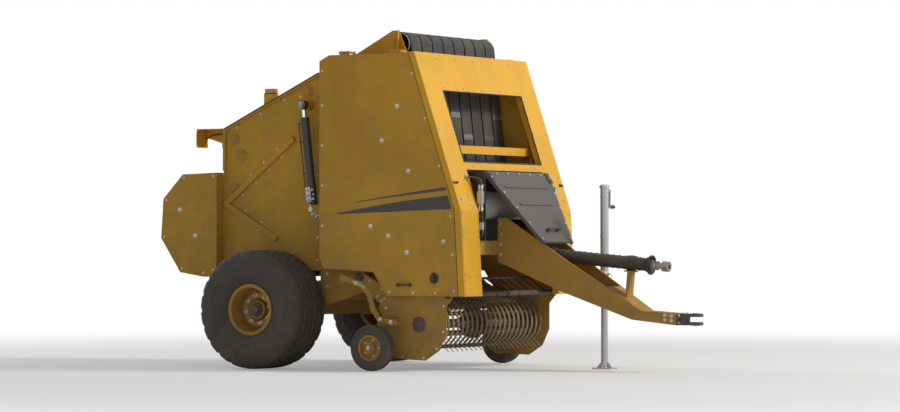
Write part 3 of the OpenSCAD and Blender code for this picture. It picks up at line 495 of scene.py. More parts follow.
    def make(self, name, look, body="chassis", bevel=0.0, sharp=35, slot=None):
        """The piece as an object in metres, which rides on a body. Edges over sharp degrees stay crisp."""
        me = bpy.data.meshes.new(name)
        me.from_pydata([((p.x + AXLE_X) / 1000, p.y / 1000, p.z / 1000) for p in self.verts], [], self.faces)
        bm = bmesh.new()
        bm.from_mesh(me)
        bmesh.ops.recalc_face_normals(bm, faces=bm.faces)
        for face in bm.faces:
            face.smooth = True
        for e in bm.edges:
            if len(e.link_faces) == 2 and e.calc_face_angle(0) > math.radians(sharp):
                e.smooth = False
        bm.to_mesh(me)
        bm.free()
        ob = bpy.data.objects.new(name, me)
        bpy.context.scene.collection.objects.link(ob)
        me.materials.append(mats[look].material)
        if bevel:
            mod = ob.modifiers.new("edges", "BEVEL")
            mod.width, mod.segments = bevel / 1000, 2
            mod.limit_method, mod.angle_limit = "ANGLE", math.radians(40)
        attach(ob, body)
        return ob


def pieces(n):
    """Several empty pieces."""
    return [Piece() for _ in range(n)]


# Places that repeat the part's outlines
WHEEL_Y, WHEEL_Z = 1092, 520
WALL_OUT, GATE_OUT, HALF, BULGE, PICKUP_Y = 773, 788, 1000, 900, 930
FACE = ((1990, 645), (1950, 1385), (1490, 2750))
FACE_LOW, FACE_UP = at(740, 0, 40).normalized(), at(1365, 0, 460).normalized()
FACE_ALONG = ACROSS.cross(-FACE_UP)


def on_face(y, z, out=0.0):
    """A point on the front face, which leans back above its knee."""
    foot, knee, top = FACE
    (x0, z0), (x1, z1), n = (knee, top, FACE_UP) if z > knee[1] else (foot, knee, FACE_LOW)
    return at(x0 + (x1 - x0) * (z - z0) / (z1 - z0), y, z) + n * out


# Wheels
# The tyre's section, as (across, radius, kind of point)
CUTS, STEPS = 44, 6
PLAIN, RIB, SHOULDER, UNDER = 0, 1, 2, 3
WALL = [(-194, 207), (-194, 228), (-202, 238), (-226, 258), (-243, 285), (-250, 300), (-252.5, 303),
        (-253, 309), (-251, 312), (-256.5, 345), (-258, 372), (-259.5, 376), (-259.5, 384), (-257.5, 388),
        (-253, 425), (-247, 455)]
FLANK = [(y, r, PLAIN) for y, r in WALL] + [
    (-241, 472, UNDER), (-235, 484, UNDER), (-226, 497, SHOULDER), (-214, 507, SHOULDER),
    (-198, 513.5, SHOULDER), (-170, 517.5, RIB), (-159.5, 518.3, RIB)]


def crown(y):
    """Radius of a rib's top."""
    return 519.9 - y * y / 15000


tread = []
for g, floor in ((-150, 502), (-75, 503), (0, 503), (75, 503), (150, 502)):
    if tread:
        tread += [(g - 37, crown(g - 37), RIB), (g - 9, crown(g), RIB)]
    tread += [(g - 6, floor, PLAIN), (g + 6, floor, PLAIN), (g + 9, crown(g), RIB)]
SECTION = FLANK + tread + [(-y, r, kind) for y, r, kind in reversed(FLANK)]


def tyre(centre):
    """A flotation tyre: five grooves round it, cross cuts in each rib, ringed sidewalls."""
    loops = []
    for i in range(CUTS * STEPS):
        a = TURN * i / (CUTS * STEPS)
        loop = []
        for y, r, kind in SECTION:
            if kind == RIB:
                rib = int((y + 187.5) // 75)
                r -= 8 if (i + 3 * (rib % 2)) % STEPS == 0 else 0
                y += 3 * math.sin(a * CUTS) if abs(y) < 170 else 0
            elif kind != PLAIN and (i + (2 if y > 0 else 0)) % (2 * STEPS) < 3:
                r -= 9 if kind == SHOULDER else 5
            loop.append(centre + at(r * math.cos(a), y, r * math.sin(a)))
        loops.append(loop)
    piece = Piece()
    piece.skin(loops, closed=True)
    return piece


for side, word in SIDES:
    out, centre, wheel = ACROSS * side, at(0, side * WHEEL_Y, WHEEL_Z), "wheel_" + word
    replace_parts(tyre(centre).make("tyre_tread_" + word, "tyre", wheel, sharp=28), "tyre_" + word)
    hub, nuts, valve, lip = pieces(4)
    profile = [(0, 62), (28, 62), (34, 58), (34, 44), (56, 41), (62, 34), (64, 0)]
    hub.turned(centre + out * 80, out, profile, 40)
    for p in circle(125, 8, 0.2):
        nuts.stubs(centre + out * 75 + p, out,
                   (-2, 20, 4, 5, 18, 20), (0, 14.5, 14, 17, 12, 6), (0, 8.5, 26, 28, 7, 14))
    hub.make("hub_cap_" + word, "dark", wheel, bevel=1.5)
    nuts.make("wheel_nuts_" + word, "bolt", wheel)
    p = centre + out * 195 + FORWARD * 188
    valve.tube([p - out * 30 - FORWARD * 6, p - out * 5, p + out * 12 - FORWARD * 4], 4.5, 10, 4)
    valve.stubs(p - FORWARD * 4, out, (8, 6.5, 12, 14, 5, 12))
    valve.make("valve_" + word, "plastic", wheel)
    for edge in (200.5, -200.5):
        lip.ring(centre + ACROSS * edge, ACROSS,
                 [(-5.5, 218), (-5, 224.5), (0, 226.2), (5, 224.5), (5.5, 218), (0, 215)], 72)
    lip.make("rim_lip_" + word, "shaded_yellow_low", wheel)

# Side shields, which are the doors
SHIELD = [(530, 970), (570, 880), (1080, 850), (1210, 645), (1923.7, 645), (1883.7, 1385), (1427.7, 2738),
          (628, 2738), (530, 2688)]
# A plain tapered stripe along each shield and a pin stripe over it: the lower line, then the upper one
STRIPES = [([(712, 1352), (1300, 1372), (1868, 1392)], [(712, 1362), (1300, 1452), (1828, 1508)]),
           ([(900, 1452), (1300, 1500), (1812, 1552)], [(900, 1458), (1300, 1516), (1804, 1580)])]
SPOTS = [(1320, 2281), (1165, 1985), (1432, 1720), (1052, 1245), (1231, 1162), (1780, 1113), (1417, 1019)]
HEM_LOW = [(1240, 680), (1480, 672), (1700, 672), (1885, 690)]
HEM_HIGH = crossed((560,), (1250, 1600, 1950, 2300, 2600)) + [
    (1868, 1000), (1852, 1330), (1740, 1760), (1600, 2170), (1470, 2560)]

for side, word in SIDES:
    out, door, y = ACROSS * side, "side_door_" + word, side * HALF
    stripe, trim, bolts, latch, pull = pieces(5)
    for lines in STRIPES:
        low, high = (curve([Vector(p) for p in (line[0], *line, line[-1])], 8) for line in lines)
        rims = [((a, -0.3), (a, 0.7), (b, 0.7), (b, -0.3)) for a, b in zip(low, high)]
        stripe.skin([[at(p.x, side * (HALF + rise), p.y) for p, rise in rim] for rim in rims])
    stripe.make("shield_stripe_" + word, "stripe", door, sharp=25)
    trim.hem(SHIELD, side, HALF, 16)
    trim.make("shield_hem_" + word, "yellow_side", door, bevel=0.6)
    bolts.domes(on_wall(side, HALF, SPOTS), out, 16.5)
    bolts.domes(on_wall(side, HALF, HEM_HIGH) + on_wall(side, HALF + 1.4, HEM_LOW), out, 9)
    bolts.make("shield_bolts_" + word, "bolt", door)
    p = at(1690, y, 800)
    latch.turned(p - out * 0.4, out, [(0, 46), (4, 46), (6, 43), (6, 20), (16, 18), (18, 15), (18, 0)], 36)
    grip = ((-9, -46), (9, -46), (11, -30), (11, 30), (9, 46), (-9, 46), (-11, 30), (-11, -30))
    latch.prism([p + at(a, side * 14, b) for a, b in grip], out * 16)
    latch.make("shield_latch_" + word, "plastic", door, bevel=1.5)
    feet = at(1330, y, 742), at(1450, y, 742)
    pull.tube([feet[0] - out * 2, feet[0] + out * 34, feet[1] + out * 34, feet[1] - out * 2], 8, 14, 0)
    for p in feet:
        pull.turned(p - out * 0.4, out, [(0, 17), (5, 17), (8, 12), (12, 8.5)], 20)
    pull.make("shield_pull_" + word, "plastic", door, bevel=1)

# Front frame
plates, bolts = pieces(2)
for side, _ in SIDES:
    for z0, z1 in ((652, 806), (814, 1186), (1194, 1376)):
        corners = ((699, z0), (990, z0), (990, z1), (699, z1))
        plates.prism([on_face(side * y, z, -0.3) for y, z in corners], FACE_LOW * 2.7)
        places = crossed((718, 971), (z0 + 22, z1 - 22))
        bolts.bolts([on_face(side * y, z, 2.2) for y, z in places], FACE_LOW, 8.5)
    bolts.bolts([on_face(side * y, z) for y, z in ((790, 1512), (800, 1436), (930, 1480))], FACE_UP, 12)
    small = ((740, 1690), (960, 1690), (960, 2080), (960, 2460), (735, 2080), (735, 2380), (560, 1768))
    bolts.bolts([on_face(side * y, z) for y, z in small], FACE_UP, 8.5)
bolts.bolts([on_face(y, z) for y, z in crossed((-640, -320, 0, 320, 640), (2705, 2450))], FACE_UP, 8.5)
plates.make("leg_plates", "yellow", bevel=0.8)
bolts.make("face_bolts", "bolt")

edging = Piece()
for ends in (((-700, 2418), (700, 2418)), ((-700, 1802), (700, 1802)), ((-698, 1802), (-698, 2418)),
             ((698, 1802), (698, 2418))):
    edging.tube([on_face(y, z, 1.5) for y, z in ends], 5.5, 10, 0)
edging.make("window_edging", "plastic")

latches = Piece()
for side, _ in SIDES:
    base = on_face(side * 955, 1618, -0.3)
    latches.slab(base, ACROSS * side, FACE_ALONG, (-34, 34), (-10, 10), FACE_UP * 9)
    latches.slab(base, ACROSS * side, FACE_ALONG, (-30, -12), (-7, 7), FACE_UP * 20)
latches.make("shield_catches", "plastic", bevel=1)

# Belts: steel lacing where the ends of each belt meet, t along its front run
BELT_LOW, BELT_TOP = at(1395, 0, 1230), at(1200, 0, 2830)
belt_up = (BELT_TOP - BELT_LOW).normalized()
belt_out = at(belt_up.z, 0, -belt_up.x)
lacing = Piece()
for i, t in enumerate((0.50, 0.62, 0.63, 0.62, 0.50, 0.75, 0.50, 0.62)):
    seam = BELT_LOW.lerp(BELT_TOP, t) + belt_out * (103.3 + 5 * t) + ACROSS * (187 * i - 737)
    for row in (-13, 13):
        for k in range(9):
            lacing.slab(seam - belt_out * 0.3 + belt_up * row + ACROSS * (10 + 18.1 * k), ACROSS, belt_up,
                        (-6.5, 6.5), (-11, 11), belt_out * 2.7)
    lacing.tube([seam + belt_out * 0.6 + ACROSS * 3, seam + belt_out * 0.6 + ACROSS * 162], 3.2, 8, 0)
lacing.make("belt_lacing", "steel")

# Bearings and bolts on the walls of chamber and tailgate, and rubber edging on the slope
WALL_BOLTS = crossed((380,), (950, 1150, 1700, 1950, 2180)) + crossed((150, -250, -450), (905,)) + [
    (-590, 1800), (-590, 1950), (-470, 2130), (-220, 2250), (30, 2370), (200, 2390)]
fixed, bearings, bolts, trim = pieces(4)
for side, _ in SIDES:
    out = ACROSS * side
    for x, z, r in ((1200, 2830, 56), (750, 2550, 52), (625, 760, 52)):
        fixed.flange(x, z, WALL_OUT, side, r)
    for x, z in ((280, 2440), (-500, 2030), (-420, 1880), (-60, 880), (-500, 1590)):
        bearings.flange(x, z, GATE_OUT, side, 54, turn=0.2 + x / 300)
    # A row on each side of both ribs
    for far, gaps in (((120, 2010), 5), ((-60, 1150), 3)):
        near = Vector((-575, 1450))
        way = Vector(far) - near
        beside = Vector((-way.y, way.x)).normalized() * 42
        row = [near + way * k / gaps + beside * s for k in range(1, gaps) for s in (-1, 1)]
        bolts.bolts(on_wall(side, GATE_OUT, row), out, 6.2)
    bolts.bolts(on_wall(side, GATE_OUT, WALL_BOLTS), out, 7.5)
    a, b = Vector((404, 2593)), Vector((-596, 2116))
    over = Vector((b.y - a.y, a.x - b.x)).normalized() * 9
    trim.prism(on_wall(side, 785, (a, b, b + over, a + over)), out * 34)
fixed.make("chamber_bearings", "shaded_yellow_low")
bearings.make("tailgate_bearings", "shaded_yellow_low", "tailgate")
bolts.make("tailgate_bolts", "bolt", "tailgate")
trim.make("slope_trim", "plastic", "tailgate", bevel=2)

# Rear side covers
REAR_COVER = [(-614, 1730), (-980, 1717), (-1190, 1500), (-1214, 1147), (-1007, 840), (-754, 800),
              (-614, 830)]
for side, word in SIDES:
    rim, bolts = pieces(2)
    rim.hem(REAR_COVER, side, BULGE, 14)
    rim.make("rear_cover_hem_" + word, "yellow_side", "tailgate", bevel=0.6)
    bolts.domes(on_wall(side, BULGE, [(-1011, 1399), (-846, 1166)]), ACROSS * side, 16.5)
    bolts.domes(on_wall(side, BULGE, inset(REAR_COVER, 34)), ACROSS * side, 9)
    bolts.make("rear_cover_bolts_" + word, "bolt", "tailgate")

# Tailgate cylinders
CYL_FOOT, CYL_TOP, CYL_Y, BARREL_R = (410, 1395), (300, 2316), 900, 37.8
cyl_up = at(CYL_TOP[0] - CYL_FOOT[0], 0, CYL_TOP[1] - CYL_FOOT[1]).normalized()
cyl_rear = at(-cyl_up.z, 0, cyl_up.x)
for side, word in SIDES:
    out = ACROSS * side
    foot, top = on_wall(side, CYL_Y, (CYL_FOOT, CYL_TOP))
    gland, pipes, pins, head = pieces(4)
    gland.ring(foot + cyl_up * 790, cyl_up, [(0, BARREL_R), (0, 41.5), (3, 42.5), (22, 42.5), (25, 40.5),
                                             (25, 20.8), (14, 20.8), (14, 30)], 40)
    gland.band(foot + cyl_up * 85.5, cyl_up, BARREL_R, 40, 10)
    gland.band(foot + cyl_up * 740, cyl_up, BARREL_R, 39.2, 7)
    gland.make("cylinder_gland_" + word, "dark", "cylinder_" + word)
    for along in (115, 765):
        pipes.stubs(foot + cyl_up * along + cyl_rear * 36, cyl_rear,
                    (0, 14, 12, 13, 12, 20), (11, 12.5, 12, 13, 10, 6), (22, 8, 12, 15, 5, 14))
    line = foot + cyl_rear * 66
    pipes.tube([line + cyl_up * k for k in (769, 735, 190, 140)], 6, 12, 4)
    pipes.stubs(line + cyl_up * 138, cyl_up, (0, 11, 16, 18, 9, 6))
    for along in (320, 600):
        p = foot + cyl_up * along
        pipes.band(p, cyl_up, BARREL_R, 39.5, 14)
        pipes.slab(p, cyl_rear, ACROSS, (37, 74), (-10, 10), cyl_up * 14)
    pipes.make("cylinder_pipe_" + word, "dark", "cylinder_" + word)
    pins.turned(foot + out * 51.8, out, [(0, 23.5), (6, 23.5), (9, 20), (9, 0)], 28)
    pins.slab(foot + out * 56, FORWARD, UP, (-8, 8), (16, 46), out * 4)
    pins.bolt(foot + out * 60 + UP * 38, out, 6, False)
    pins.make("cylinder_foot_pin_" + word, "bolt")
    head.turned(top + out * 43.8, out, [(0, 23.5), (5, 23.5), (8, 20), (8, 0)], 28)
    head.band(top + out * 31.5, out, 22.2, 34, 3, 32)
    head.make("cylinder_head_pin_" + word, "steel", "piston_" + word)

# Pale fittings: a lock valve on the barrel, capped ports on its bracket, a block with pipes on the wall
for side, word in SIDES:
    out = ACROSS * side
    foot = at(CYL_FOOT[0], side * CYL_Y, CYL_FOOT[1])
    lock, ports, block, pipes = pieces(4)
    a = foot + cyl_up * 66 + out * 34
    lock.slab(a, cyl_rear, out, (-24, 24), (0, 36), cyl_up * 130)
    for along, r in ((20, 13), (62, 16.5), (108, 13)):
        lock.stubs(a + cyl_up * along + out * 36, out,
                   (-1, r, 14, 16, r * 0.85, 6), (14, r * 0.6, 10, 13, r * 0.4, 16))
    for along in (24, 102):
        lock.stubs(a + cyl_up * along + out * 18 - cyl_rear * 23, -cyl_rear,
                   (0, 12.5, 15, 17, 11, 6), (16, 9, 12, 15, 6, 16))
    lock.band(foot + cyl_up * 122, cyl_up, BARREL_R, 41, 18)
    lock.make("lock_valve_" + word, "zinc", "cylinder_" + word, bevel=1.5)
    for p in on_wall(side, 945.5, [(442, 1352), (484, 1332)]):
        ports.stubs(p, out, (0, 17, 5, 6, 15.5, 24), (5, 14.5, 14, 16, 12.5, 6))
        ports.turned(p + out * 20, out, [(0, 10.5), (14, 10.5), (18, 8.5), (19, 0)], 24)
    ports.make("foot_ports_" + word, "zinc")
    block.slab(at(0, side * 772.5, 0), FORWARD, UP, (470, 548), (1452, 1520), out * 34)
    for x in (488, 530):
        block.stubs(at(x, side * 790, 1519.5), UP, (0, 13, 14, 16, 11, 6), (14.5, 8.5, 20, 24, 6, 14))
    block.bolts(on_wall(side, 806.5, [(482, 1464), (536, 1464), (509, 1508)]), out, 6)
    block.make("pipe_block_" + word, "zinc", bevel=1)
    for xs in ((488, 486, 500, 506), (530, 532, 520, 522)):
        run = zip(xs, (790, 790, 783, 781), (1556, 1640, 1760, 2000))
        pipes.tube([at(x, side * y, z) for x, y, z in run], 5.8)
    for z in (1800, 1960):
        pipes.slab(at(0, side * 772.6, z), FORWARD, out, (492, 536), (0, 17.4), UP * 16)
    pipes.make("frame_pipes_" + word, "zinc")

# Front cover
COVER_TOP, COVER_LOW, COVER_TOP_Y, COVER_LOW_Y = at(1950, 0, 1722), at(2370, 0, 1100), 575, 262
COVER_RUN = (COVER_LOW - COVER_TOP).length
cover_down = (COVER_LOW - COVER_TOP).normalized()
cover_out = at(-cover_down.z, 0, cover_down.x)


def on_cover(run, y=0, out=0.0):
    """A point on the front cover's outside, run down from its top edge."""
    return COVER_TOP + cover_down * run + cover_out * (4 + out) + ACROSS * y


handle, bolts, ribs, straps = pieces(4)
for s in (-1, 1):
    handle.turned(on_cover(620, s * 90, -0.4), cover_out, [(0, 20), (4, 20), (7, 14), (12, 10)], 20)
handle.tube([on_cover(620, *p) for p in ((-90, 0), (-88, 32), (88, 32), (90, 0))], 9, 14, 5)
handle.make("cover_handle", "plastic", "cover")
for s in (-1, 1):
    for run in (60, 220, 380, 540, 700):
        half = COVER_TOP_Y + (COVER_LOW_Y - COVER_TOP_Y) * run / COVER_RUN
        bolts.domes([on_cover(run, s * (half - 24))], cover_out, 8.5)
bolts.domes([on_cover(24, y) for y in (-400, -200, 0, 200, 400)], cover_out, 8.5)
bolts.make("cover_bolts", "bolt", "cover")
for run, w in ((150, 400), (330, 300)):
    corners = ((0, -w), (0, w), (22, w - 20), (22, 20 - w))
    ribs.prism([on_cover(run + b, y, -0.3) for b, y in corners], cover_out * 3.5)
ribs.slab(on_cover(COVER_RUN - 6, 0, -0.3), ACROSS, cover_down, (-250, 250), (0, -18), cover_out * 6)
ribs.make("cover_ribs", "cover", "cover", bevel=1.2)
for y in (-518, 518):
    straps.slab(on_cover(2, y, -0.3), ACROSS, cover_down, (-30, 30), (0, 110), cover_out * 4)
    straps.bolts([on_cover(run, y, 3.5) for run in (32, 87)], cover_out, 7.5)
straps.make("cover_straps", "dark", "cover", bevel=1)

# Valve blocks on the front frame, with rigid lines
BLOCK_PIPES = ((1948, 1185, 1700, 1160), (1972, 1150, 1650, 1150))
block, pipes, ends = pieces(3)
block.slab(at(0, -690, 0), FORWARD, UP, (1936, 1984), (1440, 1545), ACROSS * 38)
for x, _, _, _ in BLOCK_PIPES:
    for z, way in ((1544.5, UP), (1440.5, -UP)):
        block.stubs(at(x, -671, z), way, (0, 12.5, 14, 16, 10.5, 6), (14, 8.5, 18, 20, 7, 14))
block.bolts(on_wall(RIGHT, 652, crossed((1944, 1976), (1455, 1530))), ACROSS, 5.5, False)
block.make("valve_block_right", "zinc", bevel=1)
for x, z_low, x_end, z_end in BLOCK_PIPES:
    pipes.tube([at(x, -671, 1408), at(x + 6, -674, 1330), at(x + 10, -676, 1260), at(x + 2, -682, z_low + 10),
                at(x - 90, -700, z_end + 6), at(x_end + 40, -742, z_end), at(x_end, -766, z_end)], 8, 14)
    pipes.tube([at(x, -671, 1577), at(x - 4, -673, 1625), at(x - 30, -690, 1660), at(x - 90, -730, 1668),
                at(x - 120, -767, 1660)], 8, 14)
pipes.make("front_pipes_right", "dark")
for x, _, x_end, z_end in BLOCK_PIPES:
    ends.turned(at(x, -671, 1424), -UP, [(0, 11), (30, 11), (32, 12), (48, 12), (50, 10)], 16)
    ends.turned(at(x + 10, -676, 1262), -UP, [(0, 11.5), (4, 12.5), (44, 12.5), (48, 11.5)], 16)
    ends.turned(at(x, -671, 1562), UP, [(0, 10), (2, 12), (20, 12), (22, 11), (40, 11)], 16)
    through = [(0, 19), (6, 19), (8, 12.5), (22, 12.5)]
    ends.turned(at(x_end, -765.3, z_end), ACROSS, through + [(24, 10.5)], 20)
    ends.turned(at(x - 120, -765.3, 1660), ACROSS, through, 20)
ends.slab(at(0, -690, 1258), FORWARD, ACROSS, (1948, 1990), (0, 30), UP * 20)
ends.make("pipe_ends_right", "zinc", bevel=0.6)

block = Piece()
block.slab(at(0, 690, 0), FORWARD, UP, (1930, 1980), (1500, 1600), -ACROSS * 45)
for x, y in crossed((1942, 1968), (674, 656)):
    block.stubs(at(x, y, 1499.5), -UP, (0, 8.5, 12, 14, 7, 6))
block.bolts(on_wall(LEFT, 645, crossed((1940, 1970), (1515, 1585))), -ACROSS, 5.5, False)
block.make("valve_block_left", "zinc", bevel=1)

# Tongue and hitch
TONGUE_EDGE = ((1900, 1320), (1985, 1320), (2380, 1060), (2560, 940), (3230, 520), (3540, 500))
TONGUE_LONG, TONGUE_IN, TONGUE_Y, RIPPLES = 1640, 178, 262, 46
TONGUE_BOLTS = crossed((1925,), (1270, 1180, 1090, 1000))
TONGUE_BOLTS += [(3500, 480), (3500, 440), (3440, 485), (3440, 445)]


def tongue_half(x):
    """Half width of the tongue, over its side plates."""
    return TONGUE_Y - TONGUE_IN * (x - TONGUE_EDGE[0][0]) / TONGUE_LONG


def tongue_top(x):
    """Height of the tongue's upper edge."""
    for (x0, z0), (x1, z1) in zip(TONGUE_EDGE, TONGUE_EDGE[1:]):
        if x <= x1:
            return z0 + (z1 - z0) * (x - x0) / (x1 - x0)


pipes, clamps = pieces(2)
for k, (x, y) in enumerate(((1942, 674), (1968, 674), (1942, 656), (1968, 656))):
    path = [at(x, y, 1488), at(x + 2, y - 2, 1440), at(1975 + 3 * k, 640 - 14 * k, 1370),
            at(2045, 540 - 13 * k, 1262 + 2 * k)]
    path += [at(x, tongue_half(x) + out, tongue_top(x) - 32.8 - 13.5 * k)
             for x, out in ((2180, 49), (2420, 11), (2640, 11), (2860, 11))]
    pipes.tube(path, 6.2)
    way = (path[-1] - path[-2]).normalized()
    coupling = [(0, 10), (20, 10), (22, 12.5), (52, 12.5), (54, 14.5), (70, 14.5), (72, 11), (86, 11)]
    clamps.turned(path[-1] - way * 12, way, coupling, 16)
pipes.make("tongue_pipes", "zinc")
for x in (2300, 2520, 2740):
    p = at(x, tongue_half(x), tongue_top(x) - 10)
    corners = ((-14, -0.5, 0), (14, -3.5, -8), (14, -3.5, -84), (-14, -0.5, -76))
    clamps.prism([p + at(*v) for v in corners], ACROSS * 24)
    clamps.bolt(p + at(0, 22, -42), ACROSS, 6, False)
clamps.make("tongue_clamps", "plastic", bevel=1)

bolts, bushes, welds = pieces(3)
for side, _ in SIDES:
    out = at(TONGUE_IN / TONGUE_LONG, side, 0).normalized()
    for x, z in TONGUE_BOLTS:
        bolts.bolt(at(x, side * tongue_half(x), z), out, 11)
    for x0, z0, x1, z1 in ((2910, 716, 3225, 519), (3235, 517, 3530, 499)):
        a, b = (at(x, side * (tongue_half(x) - 0.5), z) for x, z in ((x0, z0), (x1, z1)))
        bead = [a.lerp(b, i / RIPPLES) + UP * (0.6 if i % 2 else -0.6) for i in range(RIPPLES + 1)]
        welds.tube(bead, 3.4, 6, 0)
bolts.bolts([at(3556, y, z) for y, z in crossed((-60, 60), (420, 480))], FORWARD, 11)
bolts.bolts([at(3590, y, 500) for y in (-28, 28)], UP, 9)
bolts.make("tongue_bolts", "bolt")
for z, way in ((499.7, UP), (400.3, -UP)):
    bushes.ring(at(3690, 0, z), way, [(0, 18), (0, 30), (3, 30), (4.5, 28.5), (4.5, 18.5)], 40)
bushes.make("hitch_bushes", "steel")
welds.make("tongue_welds", "shaded_yellow_low")

# Gearbox and driveline guard
bolts, ribs, guard, strap = pieces(4)
bolts.bolts([at(2050, y, z) for y, z in crossed((-84, 84), (976, 1084)) + [(0, 1086)]], FORWARD, 8.5)
bolts.bolts([at(1922, y, z) for y, z in crossed((-116, 116), (975, 1095))], FORWARD, 9.5)
bolts.bolts([at(x, y, 1100) for x, y in crossed((1945, 2025), (-60, 60))], UP, 7.5)
bolts.turned(at(1985, 0, 1099.6), UP, [(0, 21), (6, 21), (8, 15), (22, 15), (24, 12)], 6)
bolts.make("gearbox_bolts", "bolt")
drive_tilt, drive_at = math.radians(5), at(2150, 0, 1010)
drive_on = at(math.cos(drive_tilt), 0, -math.sin(drive_tilt))
rib = [(0, 41.8), (0, 64), (8, 66), (12, 60), (16, 50), (20, 41.8)]
ribs.ring(drive_at - drive_on * 92, drive_on, rib, 40)
for side, _ in SIDES:
    for x in (1950, 1985, 2020):
        ribs.slab(at(x, side * 99.6, 0), FORWARD, UP, (-4, 4), (975, 1085), ACROSS * side * 7)
ribs.make("gearbox_ribs", "dark", bevel=1)
for along in (*range(240, 860, 56), 1000):
    guard.ring(drive_at + drive_on * along, drive_on,
               [(0, 55.7), (0, 57.5), (2, 59.5), (10, 59.5), (12, 57.5), (12, 55.7)], 40)
for along, r0, r1 in ((150, 77.9, 77.9), (1112, 81.5, 83)):
    lip = [(0, r0 - 4), (-3, r0), (0, r0 + 3), (10, r1 + 2), (12, r1 - 4)]
    guard.ring(drive_at + drive_on * along, drive_on, lip, 40)
guard.make("guard_rings", "plastic")
strap.band(drive_at + drive_on * 916, drive_on, 64.2, 66.8, 28)
strap.make("stand_strap", "rubber")

# Jack
jack = at(2640, 330, 0)
crank, knob, cap, ribs = pieces(4)
top = jack + at(0, 89.5, 1555)
crank.stubs(top, ACROSS, (-12, 13.5, 26, 28, 11, 18))
crank.prism([top + at(a, 2, b) for a, b in ((-11, 18), (11, 18), (9, -148), (-9, -148))], ACROSS * 8)
crank.make("jack_crank", "zinc", bevel=1)
knob.turned(top + at(0, 9.5, -136), ACROSS, [(0, 11), (6, 14), (50, 17), (78, 16), (88, 10), (90, 0)], 24)
knob.make("jack_knob", "plastic")
cap.turned(jack + UP * 1601.6, UP, [(0, 41), (3, 41), (10, 34), (13, 15), (13, 0)], 36)
for z in (702, 1150, 1500):
    cap.band(jack + UP * z, UP, 35.8, 38.5, 12, 36)
cap.stubs(jack + at(35.5, -0.5, 830), FORWARD, (0, 10, 16, 18, 8, 18))
# The pin's pull ring
round_bar = [TURN * k / 8 for k in range(8)]
hoop = [(2.5 * math.cos(a), 16 + 2.5 * math.sin(a)) for a in round_bar]
cap.ring(jack + at(53.5, 0, 812), ACROSS, hoop, 24)
cap.make("jack_fittings", "bolt")
for way, reach in ((FORWARD, 78), (ACROSS, 60), (-FORWARD, 78), (-ACROSS, 60)):
    across = UP.cross(way)
    corners = ((29.5, 11.8), (reach, 11.8), (29.5, 66))
    ribs.prism([jack + way * r + UP * z - across * 3 for r, z in corners], across * 6)
ribs.ring(jack + UP * 11.8, UP, [(0, 29.8), (0, 34), (4, 32), (5, 29.8)], 36)
ribs.make("jack_foot_ribs", "zinc", "jack_foot", bevel=0.8)

# Lamps, reflectors and the blank warning plate
bezel, amber, marks, rims = pieces(4)
# A frame round each rear lamp with its bar and amber half, and the small upper lamp with its foot
LAMP_BLOCKS = ((bezel, -929, -915.6, 611, 621, 1977, 2103), (bezel, -929, -915.6, 749, 759, 1977, 2103),
               (bezel, -929, -915.6, 621, 749, 1977, 1986), (bezel, -929, -915.6, 621, 749, 2094, 2103),
               (bezel, -936.5, -916, 702, 706, 1985, 2095), (amber, -936, -915.7, 706, 751, 1984.6, 2095.4),
               (amber, -181.5, -68.5, 740.5, 781.5, 2430.5, 2472), (bezel, -186, -64, 738, 784, 2424, 2431))
for side, _ in SIDES:
    for piece, x0, x1, y0, y1, z0, z1 in LAMP_BLOCKS:
        piece.slab(at(0, 0, z0), FORWARD, ACROSS * side, (x0, x1), (y0, y1), UP * (z1 - z0))
    base = at(-634.6, side * 560, 1980)
    rims.turned(base, -FORWARD, [(0, 43), (6, 43), (8, 41), (8, 37), (6, 36)], 36)
    marks.turned(base - FORWARD * 4, -FORWARD, [(0, 36.2), (4, 36.2), (6, 34), (6.5, 18), (6.7, 0)], 36)
bezel.make("lamp_bezels", "plastic", "tailgate", bevel=1.5)
amber.make("amber_lenses", "amber_lens", "tailgate", bevel=4)
rims.make("reflector_rims", "plastic", "tailgate")
marks.make("reflectors", "red_lens", "tailgate")

SIGN, SIGN_X, SIGN_Z = [(-180, 25), (180, 25), (205, 65), (30, 345), (-30, 345), (-205, 65)], -638.8, 1950
edge, bolts, conduit = pieces(3)
edge.border(SIGN, 3, 33, lambda p, top: at(SIGN_X - 1.1 * top, p.x, SIGN_Z + p.y))
edge.make("warning_border", "warning_rim", "tailgate")
bolts.bolts([at(SIGN_X, y, z) for y, z in ((-90, 1990), (90, 1990), (0, 2250))], -FORWARD, 6.5)
for side, _ in SIDES:
    places = crossed((760, 480), (1963, 1997)) + [(250, 1980)]
    bolts.bolts([at(-635, side * y, z) for y, z in places], -FORWARD, 7.5)
    bolts.bolts([at(x, side * 690, 2126) for x in (-880, -700)], UP, 6.5)
    bolts.bolts([at(-916, side * 685, z) for z in (1971, 2115)], -FORWARD, 5.5)
    for path in (((-910, 640, 2040), (-880, 630, 2048), (-820, 620, 2078), (-650, 612, 2080),
                  (-628, 612, 2060), (-600, 622, 2030), (-598, 700, 2020), (-592, 777, 2026)),
                 ((-592, 777, 2020), (-590, 779, 2000), (-592, 778, 1850), (-592, 778, 1770))):
        conduit.tube([at(x, side * y, z) for x, y, z in path], 5, 10, 5)
bolts.make("rear_bolts", "bolt", "tailgate")
conduit.make("lamp_conduits", "plastic", "tailgate")

